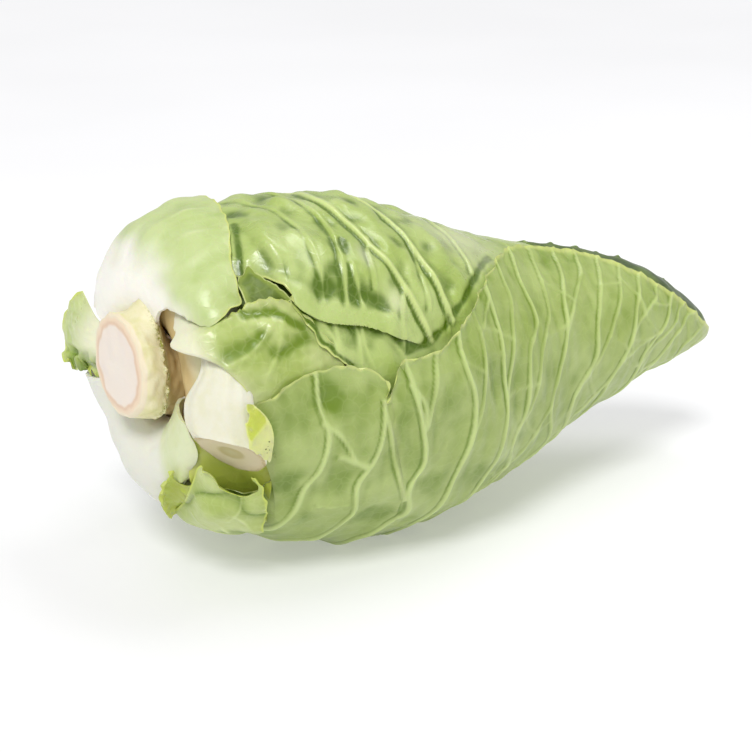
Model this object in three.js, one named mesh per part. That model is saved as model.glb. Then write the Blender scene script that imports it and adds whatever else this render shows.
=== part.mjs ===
// A pointed cabbage lying on its side, stump towards -X and point towards +X.
//
// Every leaf follows the skin of the head. A place on the skin is given by its station, the arc
// length in mm from the stump's collar to the point, and its bearing round the head in degrees:
// 0 is the front (-Y), 90 the top (+Z), 180 the back and -90 the underside. A third number, the
// lift, is the distance outside (+) or inside (-) the skin, along its normal.

import * as THREE from 'three';

// ---- The head's skin (mm) ----

// The skin's profile from the collar to the point, as distance along the axis and radius.
const PROFILE = [
  [4, 13], [-3, 20], [-5, 29], [-1, 38], [9, 46.5], [26, 54], [48, 58.5], [72, 59.5], [98, 55],
  [126, 46.5], [152, 38.3], [176, 30.7], [197, 23], [214, 15.8], [226, 10], [233, 5], [236, 0],
];
const GIRTH = 1.06; // how much wider the head is than the profile is drawn
const HEIGHT_RATIO = 1.029; // the head's height over its depth
const AXIS_FALL = -0.1033; // how far the axis falls per mm towards the point
const POINT_START = 90; // where along the axis the point starts to bend
const POINT_REACH = 145; // length of the bent stretch
const POINT_RISE = 39; // first, the axis rises
const POINT_DROOP = -31.5; // and its last stretch droops
const POINT_SWING = -16.8; // while it swings to the front
const BELLY_FLAT = 3; // how much the head's own weight flattens its underside
const LEAF_WALL = 0.9; // thickness of a wrapper leaf

// ---- The stump and core (mm) ----

// Rings of the stump and core: place on the axis, half depth, half height, axis height.
const STUMP_RINGS = [
  [-17, 17.4, 15.3, 5], [-16, 18.4, 16.3, 4.8], [-9, 18.2, 16.4, 2.6], [-4, 15.6, 14.8, 1],
  [1, 13, 13, 0], [5, 11.6, 11.6, -0.4], [22, 9, 9, -2.4], [44, 5.5, 5.5, -4.8],
];
const CORE_END = 50; // the core's rounded end
const SCAR_BEARINGS = [100, -35, -150]; // old leaf scars stand out from the stump here
const SCAR_HEIGHT = 2.2;
const SCAR_SPREAD = 24; // degrees

// ---- The inner leaves ----

const INNER_LEAVES = 6;
const INNER_LIFT = -6.8; // the outermost inner leaf lies this far inside the skin
const NEST_CENTRE = 25; // inner leaves shrink towards this place on the axis
const NEST_STEP = 0.13; // each leaf is smaller than the last by this share of the head
const LEAF_SHARE = 0.09; // and this share of the head is its own thickness
const LEAF_TURN = 137.5; // degrees from one leaf round to the next
const FIRST_TURN = 40; // bearing of the first leaf's rib
const FIRST_ROOT = 8; // station where the first leaf leaves the core
const CORE_CLEARANCE = 15; // no leaf starts closer to the axis than this
const MEAN_RADIUS = 60; // the head's radius where it is widest
const BUD_SCALE = 0.22; // the closed bud's size, as a share of the head

const profile = new THREE.CatmullRomCurve3(
  PROFILE.map(([along, radius]) => new THREE.Vector3(along, radius, 0)), false, 'centripetal');
profile.arcLengthDivisions = 1200;
const PROFILE_LENGTH = profile.getLength();

// The profile's point and outward normal at a station.
function profileAt(station) {
  const share = THREE.MathUtils.clamp(station / PROFILE_LENGTH, 0, 1);
  const point = profile.getPointAt(share);
  const tangent = profile.getTangentAt(share);
  return { along: point.x, radius: point.y, normal: [-tangent.y, tangent.x] };
}

// The axis's height and swing at a distance along it.
function axisAt(along) {
  const bend = Math.max(0, (along - POINT_START) / POINT_REACH);
  const height = AXIS_FALL * along + POINT_RISE * bend ** 2 + POINT_DROOP * bend ** 4;
  return { height: GIRTH * height, swing: GIRTH * POINT_SWING * bend ** 2 };
}

const lowestSkin = axisAt(76).height - GIRTH * HEIGHT_RATIO * profileAt(118).radius;
const FLOOR = lowestSkin + BELLY_FLAT;

// The point of the head at a station, bearing and lift. A leaf nested inside the head is shrunk
// towards the nest's centre by a scale. Nothing reaches below the flattened belly, and deeper
// layers stay above it by their own depth.
function headPoint(station, bearing, lift, scale = 1) {
  const { along, radius, normal } = profileAt(station);
  const x = along + lift * normal[0];
  const reach = GIRTH * radius + lift * normal[1];
  const angle = THREE.MathUtils.degToRad(bearing);
  const axis = axisAt(x);
  const nest = axisAt(NEST_CENTRE);
  const point = new THREE.Vector3(
    x, axis.swing - reach * Math.cos(angle), axis.height + HEIGHT_RATIO * reach * Math.sin(angle));
  point.sub(new THREE.Vector3(NEST_CENTRE, 0, nest.height)).multiplyScalar(scale);
  point.add(new THREE.Vector3(NEST_CENTRE, 0, nest.height));
  const depth = Math.max(0, -lift) + (1 - scale) * MEAN_RADIUS;
  point.z = Math.max(point.z, FLOOR + depth);
  return point;
}

// ---- Building closed shells ----

// Joins an outer and an inner grid of points, each a list of rows, into one closed shell.
function shellGeometry(outer, inner) {
  const rows = outer.length;
  const columns = outer[0].length;
  const points = [...outer.flat(), ...inner.flat()];
  const offset = rows * columns;
  const index = [];
  const quad = (a, b, c, d) => index.push(a, b, c, a, c, d);
  for (let i = 0; i < rows - 1; i += 1) {
    for (let j = 0; j < columns - 1; j += 1) {
      const a = i * columns + j;
      quad(a, a + columns, a + columns + 1, a + 1);
      quad(offset + a, offset + a + 1, offset + a + columns + 1, offset + a + columns);
    }
  }
  const rim = [];
  for (let j = 0; j < columns - 1; j += 1) rim.push(j);
  for (let i = 0; i < rows - 1; i += 1) rim.push(i * columns + columns - 1);
  for (let j = columns - 1; j > 0; j -= 1) rim.push((rows - 1) * columns + j);
  for (let i = rows - 1; i > 0; i -= 1) rim.push(i * columns);
  rim.forEach((here, n) => {
    const next = rim[(n + 1) % rim.length];
    quad(here, next, offset + next, offset + here);
  });
  return closedGeometry(points, index);
}

// A geometry from shared points and triangles, turned inside out if it faces inwards.
function closedGeometry(points, index) {
  let volume = 0;
  for (let n = 0; n < index.length; n += 3) {
    const [a, b, c] = [points[index[n]], points[index[n + 1]], points[index[n + 2]]];
    volume += a.dot(new THREE.Vector3().crossVectors(b, c));
  }
  const facing = volume > 0 ? index : [...index].reverse();
  const geometry = new THREE.BufferGeometry().setFromPoints(points);
  geometry.setIndex(facing);
  return geometry;
}

// A smooth line on the head through [station, bearing, lift] points.
function skinLine(points) {
  const line = new THREE.CatmullRomCurve3(
    points.map((place) => new THREE.Vector3(...place)), false, 'centripetal');
  line.arcLengthDivisions = 400;
  return line;
}

// Weights that carry a smooth quantity through three lines, at 0, 1/2 and 1 across the leaf.
function acrossWeights(v) {
  return [(1 - v) * (1 - 2 * v), 4 * v * (1 - v), v * (2 * v - 1)];
}

// A leaf ruled across three lines on the head, with its thickness at each line. Rows are closer
// together towards both ends, where the skin curves most. A nested leaf gets its thickness from
// the smaller scale of its inner side.
function leafGeometry({ lines, thickness, along, across, scale = 1, innerScale = scale }) {
  const curves = lines.map(skinLine);
  const outer = [];
  const inner = [];
  for (let i = 0; i <= along; i += 1) {
    const t = i / along;
    const u = 0.5 * t + 0.25 * (1 - Math.cos(Math.PI * t));
    const marks = curves.map((curve) => curve.getPointAt(u));
    const outerRow = [];
    const innerRow = [];
    for (let j = 0; j <= across; j += 1) {
      const weights = acrossWeights(j / across);
      const place = new THREE.Vector3();
      marks.forEach((mark, n) => place.addScaledVector(mark, weights[n]));
      const wall = weights.reduce((sum, weight, n) => sum + weight * thickness[n], 0);
      outerRow.push(headPoint(place.x, place.y, place.z, scale));
      innerRow.push(headPoint(place.x, place.y, place.z - wall, innerScale));
    }
    outer.push(outerRow);
    inner.push(innerRow);
  }
  return shellGeometry(outer, inner);
}

// Rings of points joined into a closed body, with a flat first end and a pointed last end.
function ringGeometry(rings, lastPoint) {
  const sides = rings[0].length;
  const firstPoint = rings[0].reduce((sum, p) => sum.add(p), new THREE.Vector3());
  firstPoint.divideScalar(sides);
  const points = [...rings.flat(), firstPoint, lastPoint];
  const first = points.length - 2;
  const last = points.length - 1;
  const index = [];
  const top = (rings.length - 1) * sides;
  for (let k = 0; k < sides; k += 1) {
    const next = (k + 1) % sides;
    index.push(first, next, k);
    index.push(last, top + k, top + next);
    for (let i = 0; i < rings.length - 1; i += 1) {
      const a = i * sides;
      index.push(a + k, a + next, a + sides + next);
      index.push(a + k, a + sides + next, a + sides + k);
    }
  }
  return closedGeometry(points, index);
}

// ---- The pieces ----

// The cut stump, with its leaf scars, and the core that tapers on inside the head.
function stumpGeometry() {
  const sides = 24;
  const neck = STUMP_RINGS.findIndex((ring) => ring[0] > 0);
  const rings = STUMP_RINGS.map(([along, depth, height, centre], n) => {
    const ring = [];
    for (let k = 0; k < sides; k += 1) {
      const bearing = (360 * k) / sides;
      let scar = 0;
      SCAR_BEARINGS.forEach((middle) => {
        const off = ((bearing - middle + 540) % 360) - 180;
        scar += n < neck ? SCAR_HEIGHT * Math.exp(-((off / SCAR_SPREAD) ** 2)) * (n / neck) : 0;
      });
      const angle = THREE.MathUtils.degToRad(bearing);
      ring.push(new THREE.Vector3(
        along, -(depth + scar) * Math.cos(angle), centre + (height + scar) * Math.sin(angle)));
    }
    return ring;
  });
  return ringGeometry(rings, new THREE.Vector3(CORE_END, 0, axisAt(CORE_END).height));
}

// A leaf stalk cut off short: oval sections along a line on the head, ending in a slanted cut.
function stalkGeometry() {
  const middle = skinLine([[20, 30, 0.5], [26, 18, 3], [30, 4, 6], [34, -13, 6.6]]);
  const halfWidths = [6, 8.5, 10.2, 10.6, 10.4, 10];
  const halfHeights = [2.2, 3.6, 5, 5.6, 5.8, 5.6];
  const slant = 9; // how much further the outer side reaches than the inner side, in degrees
  const sides = 16;
  const steps = halfWidths.length - 1;
  const rings = [];
  for (let i = 0; i <= steps; i += 1) {
    const place = middle.getPointAt(i / steps);
    const ring = [];
    for (let k = 0; k < sides; k += 1) {
      const angle = (2 * Math.PI * k) / sides;
      const station = place.x + halfWidths[i] * Math.cos(angle);
      const lift = place.z + halfHeights[i] * Math.sin(angle);
      const cut = i === steps ? slant * Math.sin(angle) : 0;
      ring.push(headPoint(station, place.y + cut, lift));
    }
    rings.push(ring);
  }
  rings.reverse();
  const root = rings[rings.length - 1];
  const rootPoint = root.reduce((sum, p) => sum.add(p), new THREE.Vector3()).divideScalar(sides);
  return ringGeometry(rings, rootPoint);
}

// The closed bud at the core's end: the innermost leaves, wrapped all the way round.
function heartBudGeometry() {
  const sides = 14;
  const [root, tip, steps] = [188, 268, 8];
  const rings = [];
  for (let i = 0; i <= steps; i += 1) {
    const station = root + ((tip - root) * i) / steps;
    const ring = [];
    for (let k = 0; k < sides; k += 1) {
      ring.push(headPoint(station, (360 * k) / sides, INNER_LIFT, BUD_SCALE));
    }
    rings.push(ring);
  }
  const lastRing = rings[steps];
  const end = lastRing.reduce((sum, p) => sum.add(p), new THREE.Vector3()).divideScalar(sides);
  return ringGeometry(rings, end);
}

// Leaf number n inside the head: a cup round the core, open on one side, its tip near the point.
function innerLeafGeometry(n) {
  const scale = 1 - NEST_STEP * n;
  const turn = FIRST_TURN + LEAF_TURN * n;
  let root = FIRST_ROOT;
  while (GIRTH * profileAt(root).radius * scale < CORE_CLEARANCE) root += 0.5;
  const edge = (side) => [
    [root, turn + side * 62, INNER_LIFT], [30, turn + side * 88, INNER_LIFT],
    [70, turn + side * 112, INNER_LIFT], [150, turn + side * 118, INNER_LIFT],
    [225, turn + side * 110, INNER_LIFT], [262, turn + side * 96, INNER_LIFT],
  ];
  const rib = [[root, turn, INNER_LIFT], [130, turn, INNER_LIFT], [262, turn, INNER_LIFT]];
  return leafGeometry({
    lines: [edge(-1), rib, edge(1)],
    thickness: [0, 0, 0],
    along: 12,
    across: 14,
    scale,
    innerScale: scale - LEAF_SHARE,
  });
}

const WRAPPER_WALL = [LEAF_WALL, LEAF_WALL, LEAF_WALL];

// The front leaf's upper margin: its bearing rises smoothly to its highest place, and falls from
// there to the point as a quarter of a cosine.
const MARGIN_START = 90; // station where the smooth margin begins
const MARGIN_STEP = 16; // a place on it every so many mm
const MARGIN_LOW = 16; // bearing at its start
const MARGIN_RISE = 60; // how far it rises
const MARGIN_RISE_FROM = 95;
const MARGIN_TOP = 185; // station of its highest place
const MARGIN_END = 282;

function upperMargin() {
  const places = [];
  for (let station = MARGIN_START; station <= MARGIN_END; station += MARGIN_STEP) {
    const rise = THREE.MathUtils.smoothstep(station, MARGIN_RISE_FROM, MARGIN_TOP);
    const fall = Math.max(0, (station - MARGIN_TOP) / (MARGIN_END - MARGIN_TOP));
    const bearing = (MARGIN_LOW + MARGIN_RISE * rise) * Math.cos(fall * Math.PI / 2);
    places.push([station, bearing, 0]);
  }
  return places;
}

// The outer leaves: lines are one margin, the middle and the other margin, or, on a trimmed leaf
// base, the root, the middle and the cut edge.
const OUTER_LEAVES = {
  wrapper_leaf_front: {
    along: 22,
    across: 16,
    thickness: WRAPPER_WALL,
    lines: [
      [[14, -60, -1.5], [30, -45, -1], [45, -33, 0], [48, -18, 0.6], [43, -3, 0.3], [47, 5, 0],
        [60, 15, 0], [80, 13, 0], ...upperMargin()],
      [[12, -84, -1.5], [50, -85, 0], [80, -86, 0], [160, -84, 0], [282, -70, 0]],
      [[14, -112, -1.5], [40, -130, -0.6], [80, -142, 0], [140, -150, 0], [200, -156, 0],
        [282, -150, 0]],
    ],
  },
  wrapper_leaf_top: {
    along: 20,
    across: 16,
    thickness: WRAPPER_WALL,
    lines: [
      [[13, 84, -3.4], [30, 64, -2.6], [46, 53, -1.6], [56, 46, -0.8], [61, 36, -0.6],
        [65, 25, -1], [73, 15, -2.4], [86, 5, -3], [112, 6, -3], [140, 22, -3], [170, 38, -4.6],
        [210, 46, -4.6], [262, 36, -4.6]],
      [[13, 128, -4.6], [60, 122, -2.6], [100, 120, -2.6], [160, 120, -4.4], [262, 110, -4.6]],
      [[13, 172, -4.8], [40, 188, -4.8], [100, 202, -4.8], [180, 212, -4.8], [262, 190, -4.8]],
    ],
  },
  wrapper_leaf_back: {
    along: 20,
    across: 14,
    thickness: WRAPPER_WALL,
    lines: [
      [[16, 160, -1.6], [40, 148, -0.6], [80, 136, -0.6], [130, 120, -0.6], [165, 100, -1.4],
        [195, 72, -2.4], [212, 54, -2.4], [240, 36, -2.4], [279, 10, -2]],
      [[14, 196, -1.8], [80, 186, -0.6], [160, 168, -0.6], [279, 130, -1.4]],
      [[16, 232, -3.6], [60, 232, -3.6], [130, 236, -3.6], [200, 238, -3.4], [279, 240, -2.4]],
    ],
  },
  trimmed_leaf_top: {
    along: 14,
    across: 8,
    thickness: [3, 4.2, 1.2],
    lines: [
      [[9.5, 64, 4.2], [9.3, 95, 4.8], [9.3, 120, 5], [9.5, 150, 4.8]],
      [[19, 58, 4.6], [23, 86, 6.2], [26, 118, 8.2], [27, 152, 8.4]],
      [[24, 50, 3.9], [32, 38, 3.2], [44, 43, 2.6], [45, 55, 2.4], [50, 68, 2.4], [60, 100, 2.8],
        [61, 120, 3], [47, 158, 5.6]],
    ],
  },
  trimmed_leaf_under: {
    along: 14,
    across: 8,
    thickness: [3, 4.4, 1.2],
    lines: [
      [[9.4, -28, 4.2], [9.3, -70, 4.2], [9.3, -110, 4.2], [9.6, -160, 4.6]],
      [[17, -24, 4.4], [23, -62, 5], [24, -110, 4.4], [26, -166, 6.6]],
      [[25, -20, 3.6], [27, -36, 3.2], [31, -58, 2.2], [37, -88, 2.2], [42, -118, 2.2], [44, -170, 3]],
    ],
  },
  torn_leaf_under: {
    along: 9,
    across: 6,
    thickness: [0.8, 0.9, 0.8],
    lines: [
      [[28, -25, 5.6], [37, -27, 4.8], [45, -29, 3.4], [51, -43, 2.4], [54, -70, 2.2]],
      [[26, -45, 7], [35, -52, 6.2], [42, -60, 4.6], [50, -84, 3]],
      [[27, -68, 7.4], [32, -80, 6.6], [38, -90, 5.4], [47, -104, 3.8]],
    ],
  },
  flared_leaf_back: {
    along: 6,
    across: 5,
    thickness: [1.6, 1.4, 1],
    lines: [
      [[10.5, 163, 3.6], [10.5, 180, 3.4], [10.5, 194, 3.4]],
      [[19, 160, 8], [20, 178, 10], [21, 194, 9]],
      [[26, 158, 12.5], [30, 174, 18.5], [30, 192, 18]],
    ],
  },
  torn_leaf_front: {
    along: 12,
    across: 6,
    thickness: [0.9, 1, 0.9],
    lines: [
      [[20, 36, 9], [21, 28, 9.2], [27, 21, 9.4], [35, 15, 9.2], [41, 11.5, 5.2], [45, 12, 1.5],
        [49, 12, -1.2], [54, 11, -2.2], [60, 7, -2.2]],
      [[23, 38, 6.4], [32, 31, 6.2], [42, 24, 4], [52, 18, 0.4], [64, 10, -2.2]],
      [[27, 41, -0.4], [35, 38, 1], [50, 38, 0.8], [60, 32, 0.4], [65, 23, -0.6], [68, 12, -2]],
    ],
  },
  torn_flap: {
    along: 6,
    across: 4,
    thickness: [0.8, 0.8, 0.8],
    lines: [
      [[46, 50, 0.4], [50, 52, 1.2], [54, 48, 1.2], [58, 42, 0.4]],
      [[46, 47, 0.6], [50, 47, 1.2], [54, 44, 1.1], [57, 41, 0.4]],
      [[45, 43.5, 0.2], [50, 42.5, 0.6], [54, 40.5, 0.5], [57, 39, 0.2]],
    ],
  },
};

// ---- Materials ----

const LEAF_COLOURS = {
  wrapper_leaf_front: 0xacb978,
  wrapper_leaf_top: 0xafc873,
  wrapper_leaf_back: 0x5a7850,
  trimmed_leaf_top: 0xd8e2b4,
  trimmed_leaf_under: 0xe6e8d0,
  torn_leaf_under: 0xbcd084,
  flared_leaf_back: 0xcddca0,
  torn_leaf_front: 0xbed282,
  torn_flap: 0x8ca05a,
};

function leafMaterial(colour) {
  return new THREE.MeshStandardMaterial({ color: colour, roughness: 0.45, metalness: 0 });
}

// Named copies of one construction: a mesh needs a name, a geometry and a colour.
function piece(name, geometry, colour) {
  const mesh = new THREE.Mesh(geometry, leafMaterial(colour));
  mesh.name = name;
  return mesh;
}

// ---- The assembly ----

const cabbage = new THREE.Group();
cabbage.add(piece('stump', stumpGeometry(), 0xf0e4d0));
cabbage.add(piece('cut_stalk_front', stalkGeometry(), 0xf0ebda));
Object.entries(OUTER_LEAVES).forEach(([name, leaf]) => {
  cabbage.add(piece(name, leafGeometry(leaf), LEAF_COLOURS[name]));
});
for (let n = 0; n < INNER_LEAVES; n += 1) {
  cabbage.add(piece(`inner_leaf_${n + 1}`, innerLeafGeometry(n), 0xdde5b2));
}
cabbage.add(piece('heart_bud', heartBudGeometry(), 0xe8e8b8));

// The origin is the middle of the underside of the head's box, on the surface it lies on.
const box = new THREE.Box3().setFromObject(cabbage);
const middle = box.getCenter(new THREE.Vector3());
cabbage.position.set(-middle.x, -middle.y, -box.min.z);
cabbage.updateMatrixWorld(true);

export default cabbage;
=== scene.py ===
"""A pointed cabbage lying on its side, stump to the left and point to the right.

Every leaf is a thin sheet bent over the skin of the head. A place on that skin is a station (the
arc length along the profile, from the stump's collar to the point), a bearing round the axis
(0 at the front, 90 on top) and a lift (the distance outside the skin). In words:

    x = profile's place along the axis + lift * the normal's share along the axis
    reach = girth * profile's radius + lift * the normal's share away from the axis
    y = the axis's swing at x - reach * cosine of the bearing
    z = the axis's height at x + height ratio * reach * sine of the bearing

A leaf is ruled between three lines on the skin: one margin, the middle and the other margin.
Veins, blisters and folds are added to its lift, and the sheet gets its wall from a second grid
on its inner side.
"""

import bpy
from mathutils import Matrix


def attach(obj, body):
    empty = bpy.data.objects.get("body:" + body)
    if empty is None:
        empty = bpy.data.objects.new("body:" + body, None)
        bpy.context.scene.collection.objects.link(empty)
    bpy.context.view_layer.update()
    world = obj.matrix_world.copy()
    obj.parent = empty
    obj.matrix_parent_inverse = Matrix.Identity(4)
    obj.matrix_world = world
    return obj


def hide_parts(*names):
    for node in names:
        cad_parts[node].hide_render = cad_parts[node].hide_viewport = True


# %% [markdown]
# # A pointed cabbage
#
# A head of pointed cabbage is a core with leaves wrapped round it, each one over the edge of the
# last, until they close to a point. Trimming leaves a cut stump, a few thick white leaf bases and
# some torn remains. The model is built the same way: one skin shape for the whole head, and every
# leaf a sheet laid on it with its own outline, height and relief.

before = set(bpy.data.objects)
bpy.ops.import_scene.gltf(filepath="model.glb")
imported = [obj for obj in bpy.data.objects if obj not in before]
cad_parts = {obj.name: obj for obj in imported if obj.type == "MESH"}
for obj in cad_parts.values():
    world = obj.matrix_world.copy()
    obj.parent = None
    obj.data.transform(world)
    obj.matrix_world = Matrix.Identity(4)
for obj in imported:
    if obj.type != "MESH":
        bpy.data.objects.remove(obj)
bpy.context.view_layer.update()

import bpy
import numpy as np
from mathutils import Vector

# %% [markdown]
# ## The skin of the head
#
# The head is nearly a body of revolution, so one profile curve carries most of its shape. The
# axis sinks a little towards the point, which also turns up and then droops. Working in head
# coordinates instead of x, y and z means that an outline can be drawn on the skin as if it were
# unrolled, and a layer is only a change of lift.

# %% Smooth curves
MM = 0.001


def smooth_curve(points, count, dense=30):
    """Evenly spaced points on the centripetal Catmull-Rom curve through a few given ones.

    Each span is a cubic whose end slopes come from its neighbours, weighted by the square root
    of their distances, so that it passes through every point without loops.
    """
    points = np.asarray(points, float)
    ends = np.vstack([2 * points[0] - points[1], points, 2 * points[-1] - points[-2]])
    gaps = np.maximum(np.linalg.norm(np.diff(ends, axis=0), axis=1) ** 0.5, 1e-6)[:, None]
    p0, p1, p2, p3 = ends[:-3], ends[1:-2], ends[2:-1], ends[3:]
    d0, d1, d2 = gaps[:-2], gaps[1:-1], gaps[2:]
    slope1 = d1 * ((p1 - p0) / d0 - (p2 - p0) / (d0 + d1) + (p2 - p1) / d1)
    slope2 = d1 * ((p2 - p1) / d1 - (p3 - p1) / (d1 + d2) + (p3 - p2) / d2)
    t = np.linspace(0, 1, dense, endpoint=False)[:, None, None]
    spans = ((2 * t**3 - 3 * t**2 + 1) * p1 + (t**3 - 2 * t**2 + t) * slope1
             + (3 * t**2 - 2 * t**3) * p2 + (t**3 - t**2) * slope2)
    path = np.vstack([spans.transpose(1, 0, 2).reshape(-1, points.shape[1]), points[-1]])
    lengths = np.append(0, np.cumsum(np.linalg.norm(np.diff(path, axis=0), axis=1)))
    places = np.linspace(0, lengths[-1], count)
    return np.stack([np.interp(places, lengths, column) for column in path.T], -1)


# %% The skin
# Places along the axis and radii, from the collar round the shoulder to the point.
PROFILE = [
    (4, 13), (-3, 20), (-5, 29), (-1, 38), (9, 46.5), (26, 54), (48, 58.5), (72, 59.5), (98, 55),
    (126, 46.5), (152, 38.3), (176, 30.7), (197, 23), (214, 15.8), (226, 10), (233, 5), (236, 0),
]
GIRTH = 1.06  # multiplies the radii and the axis's height and swing
HEIGHT_RATIO = 1.029  # height to depth of a section
AXIS_FALL = -0.1033  # mm of height for each mm along
POINT_START, POINT_REACH = 90, 145  # where the axis starts to bend, and mm to a bend of 1
POINT_RISE, POINT_DROOP, POINT_SWING = 39, -31.5, -16.8  # mm at a bend of 1
# The floor is BELLY_FLAT mm above the axis's height at a place along it, less the radius at a
# station near there. That is 4 mm above the skin's lowest place: so much of the belly is flattened.
BELLY_ALONG, BELLY_STATION, BELLY_FLAT = 76, 118, 3

skin = smooth_curve(PROFILE, 3000)
slopes = np.gradient(skin, axis=0)
slopes /= np.linalg.norm(slopes, axis=1)[:, None]
stations = np.append(0, np.cumsum(np.linalg.norm(np.diff(skin, axis=0), axis=1)))
HEAD_LENGTH = stations[-1]


def axis_at(along):
    """Height and swing of the head's axis: a steady fall, plus the bend of the point."""
    bend = np.clip((along - POINT_START) / POINT_REACH, 0, None)
    height = AXIS_FALL * along + POINT_RISE * bend**2 + POINT_DROOP * bend**4
    return GIRTH * height, GIRTH * POINT_SWING * bend**2


belly_height = axis_at(BELLY_ALONG)[0] - GIRTH * HEIGHT_RATIO * np.interp(
    BELLY_STATION, stations, skin[:, 1])
FLOOR = belly_height + BELLY_FLAT
NEST_CENTRE = 25  # inner leaves shrink towards this place on the axis
WIDE_RADIUS = 60  # mm, a little less than the head's widest radius


def head_point(station, bearing, lift, scale=1.0):
    """Head coordinates to x, y, z in mm by the formula at the top.

    A leaf nested inside the head is then shrunk by the scale towards the nest's centre. Nothing
    reaches below the flattened belly, and deeper layers stay above it by their own depth.
    """
    along = np.interp(station, stations, skin[:, 0])
    radius = np.interp(station, stations, skin[:, 1])
    out_x = -np.interp(station, stations, slopes[:, 1])
    out_r = np.interp(station, stations, slopes[:, 0])
    x = along + lift * out_x
    reach = GIRTH * radius + lift * out_r
    height, swing = axis_at(x)
    turn = np.radians(bearing)
    z = height + HEIGHT_RATIO * reach * np.sin(turn)
    centre = np.array([NEST_CENTRE, 0, axis_at(NEST_CENTRE)[0]])
    point = centre + (np.stack([x, swing - reach * np.cos(turn), z], -1) - centre) * scale
    depth = np.clip(-lift, 0, None) + (1 - scale) * WIDE_RADIUS
    point[..., 2] = np.maximum(point[..., 2], FLOOR + depth)
    return point


print("the skin is", round(HEAD_LENGTH), "mm long from collar to point")

# %% [markdown]
# ## Where the head sits in the frame
#
# The CAD stump's flat cut face marks the axis: its middle has a known x and y in head coordinates,
# so the difference is the shift from the head's own coordinates to the frame. The height comes from
# the flattened belly, which lies at z = 0.

# %% Fit to the frame
CUT_PLACE = np.array([-17.0, 0.0])  # x and y of the cut face's middle in head coordinates
stump_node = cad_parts["stump"]
corners = np.empty(3 * len(stump_node.data.vertices))
stump_node.data.vertices.foreach_get("co", corners)
corners = corners.reshape(-1, 3) / MM
cut_face = corners[corners[:, 0] < corners[:, 0].min() + 0.01]
cut_middle = (cut_face.min(0) + cut_face.max(0)) / 2
SHIFT = np.append(cut_middle[:2] - CUT_PLACE, -FLOOR)


def to_frame(points):
    """Head coordinates' x, y, z in mm to metres in the frame."""
    return (points + SHIFT) * MM


print("head to frame shift in mm", SHIFT.round(2))

# %% [markdown]
# ## Sheets
#
# A leaf could be sculpted from a plane, but a grid worked out in numpy keeps the outline, the
# veins and the folds as numbers that can be changed. The outer grid is fine, because all the
# relief shows there. The inner grid is coarser, and the rim joins the two.

# %% Ruled grids
def across_weights(v):
    """Weights of the three lines at v across the leaf, a parabola through 0, 1/2 and 1."""
    return np.stack([(1 - v) * (1 - 2 * v), 4 * v * (1 - v), v * (2 * v - 1)])


def ruled(lines, v):
    """Station, bearing and lift of a grid: one row for each place along the three lines."""
    marks = np.stack([smooth_curve(line, len(v)) for line in lines])
    return np.einsum("krc,krd->drc", across_weights(v), marks)


def grid_length(points, axis):
    """Distance in mm along each grid line from its start."""
    steps = np.linalg.norm(np.diff(points, axis=axis), axis=-1)
    zero = np.zeros_like(np.take(steps, [0], axis=axis))
    return np.concatenate([zero, np.cumsum(steps, axis=axis)], axis=axis)


# %% Closed sheet meshes
def rim_order(rows, columns):
    """Grid indices once round the edge."""
    top = np.arange(columns - 1)
    right = np.arange(rows - 1) * columns + columns - 1
    bottom = (rows - 1) * columns + np.arange(columns - 1, 0, -1)
    left = np.arange(rows - 1, 0, -1) * columns
    return np.concatenate([top, right, bottom, left])


def grid_quads(rows, columns):
    """The quads of a grid of points."""
    a = (np.arange(rows - 1)[:, None] * columns + np.arange(columns - 1)).ravel()
    return np.stack([a, a + columns, a + columns + 1, a + 1], -1)


def make_mesh(name, points, faces, marks, crease=48):
    """An object at the origin from points in metres, faces and named values per point."""
    mesh = bpy.data.meshes.new(name)
    mesh.from_pydata(points, [], faces)
    for label, values in marks.items():
        layer = mesh.attributes.new(label, "FLOAT", "POINT")
        layer.data.foreach_set("value", np.asarray(values, np.float32))
    mesh.shade_smooth()
    mesh.set_sharp_from_angle(angle=np.radians(crease))
    mesh.update()
    piece = bpy.data.objects.new(name, mesh)
    bpy.context.collection.objects.link(piece)
    return piece


def dress(piece, material):
    """Gives a piece its material and the body that it rides."""
    piece.data.materials.append(material)
    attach(piece, "root")


def sheet_piece(name, outer, inner, step, marks):
    """A closed sheet: a fine outer grid, an inner grid of every step-th point, and a rim."""
    rows, columns = outer.shape[:2]
    few_rows, few_columns = inner.shape[:2]
    fine, coarse = rim_order(rows, columns), rim_order(few_rows, few_columns)
    offset = rows * columns
    ring = np.append(fine, fine[0])
    ends = np.append(coarse, coarse[0]) + offset
    faces = grid_quads(rows, columns).tolist()
    faces += (grid_quads(few_rows, few_columns)[:, ::-1] + offset).tolist()
    faces += [[*ring[k * step:(k + 1) * step + 1][::-1], ends[k], ends[k + 1]]
              for k in range(len(coarse))]
    middle = outer[rows // 2, columns // 2]
    along = outer[rows // 2 + 1, columns // 2] - middle
    across = outer[rows // 2, columns // 2 + 1] - middle
    away = middle - inner[few_rows // 2, few_columns // 2]
    if np.dot(np.cross(along, across), away) < 0:
        faces = [face[::-1] for face in faces]
    points = np.vstack([outer.reshape(-1, 3), inner.reshape(-1, 3)])
    values = {label: np.concatenate([mark.ravel(), mark[::step, ::step].ravel()])
              for label, mark in marks.items()}
    return make_mesh(name, to_frame(points), faces, values)


# %% [markdown]
# ## Veins and relief
#
# A cabbage leaf's lateral veins leave the midrib, sway towards the margin and are tied together
# by thinner veins, so that the leaf is divided into many-sided cells. Each vein here is a
# polyline on the skin. The height of the sheet depends on the distance to the nearest vein,
# narrow for the vein's own ridge and wide for the way the leaf is drawn up to it or blistered
# between. Plane waves in random directions make the soft unevenness.

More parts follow.
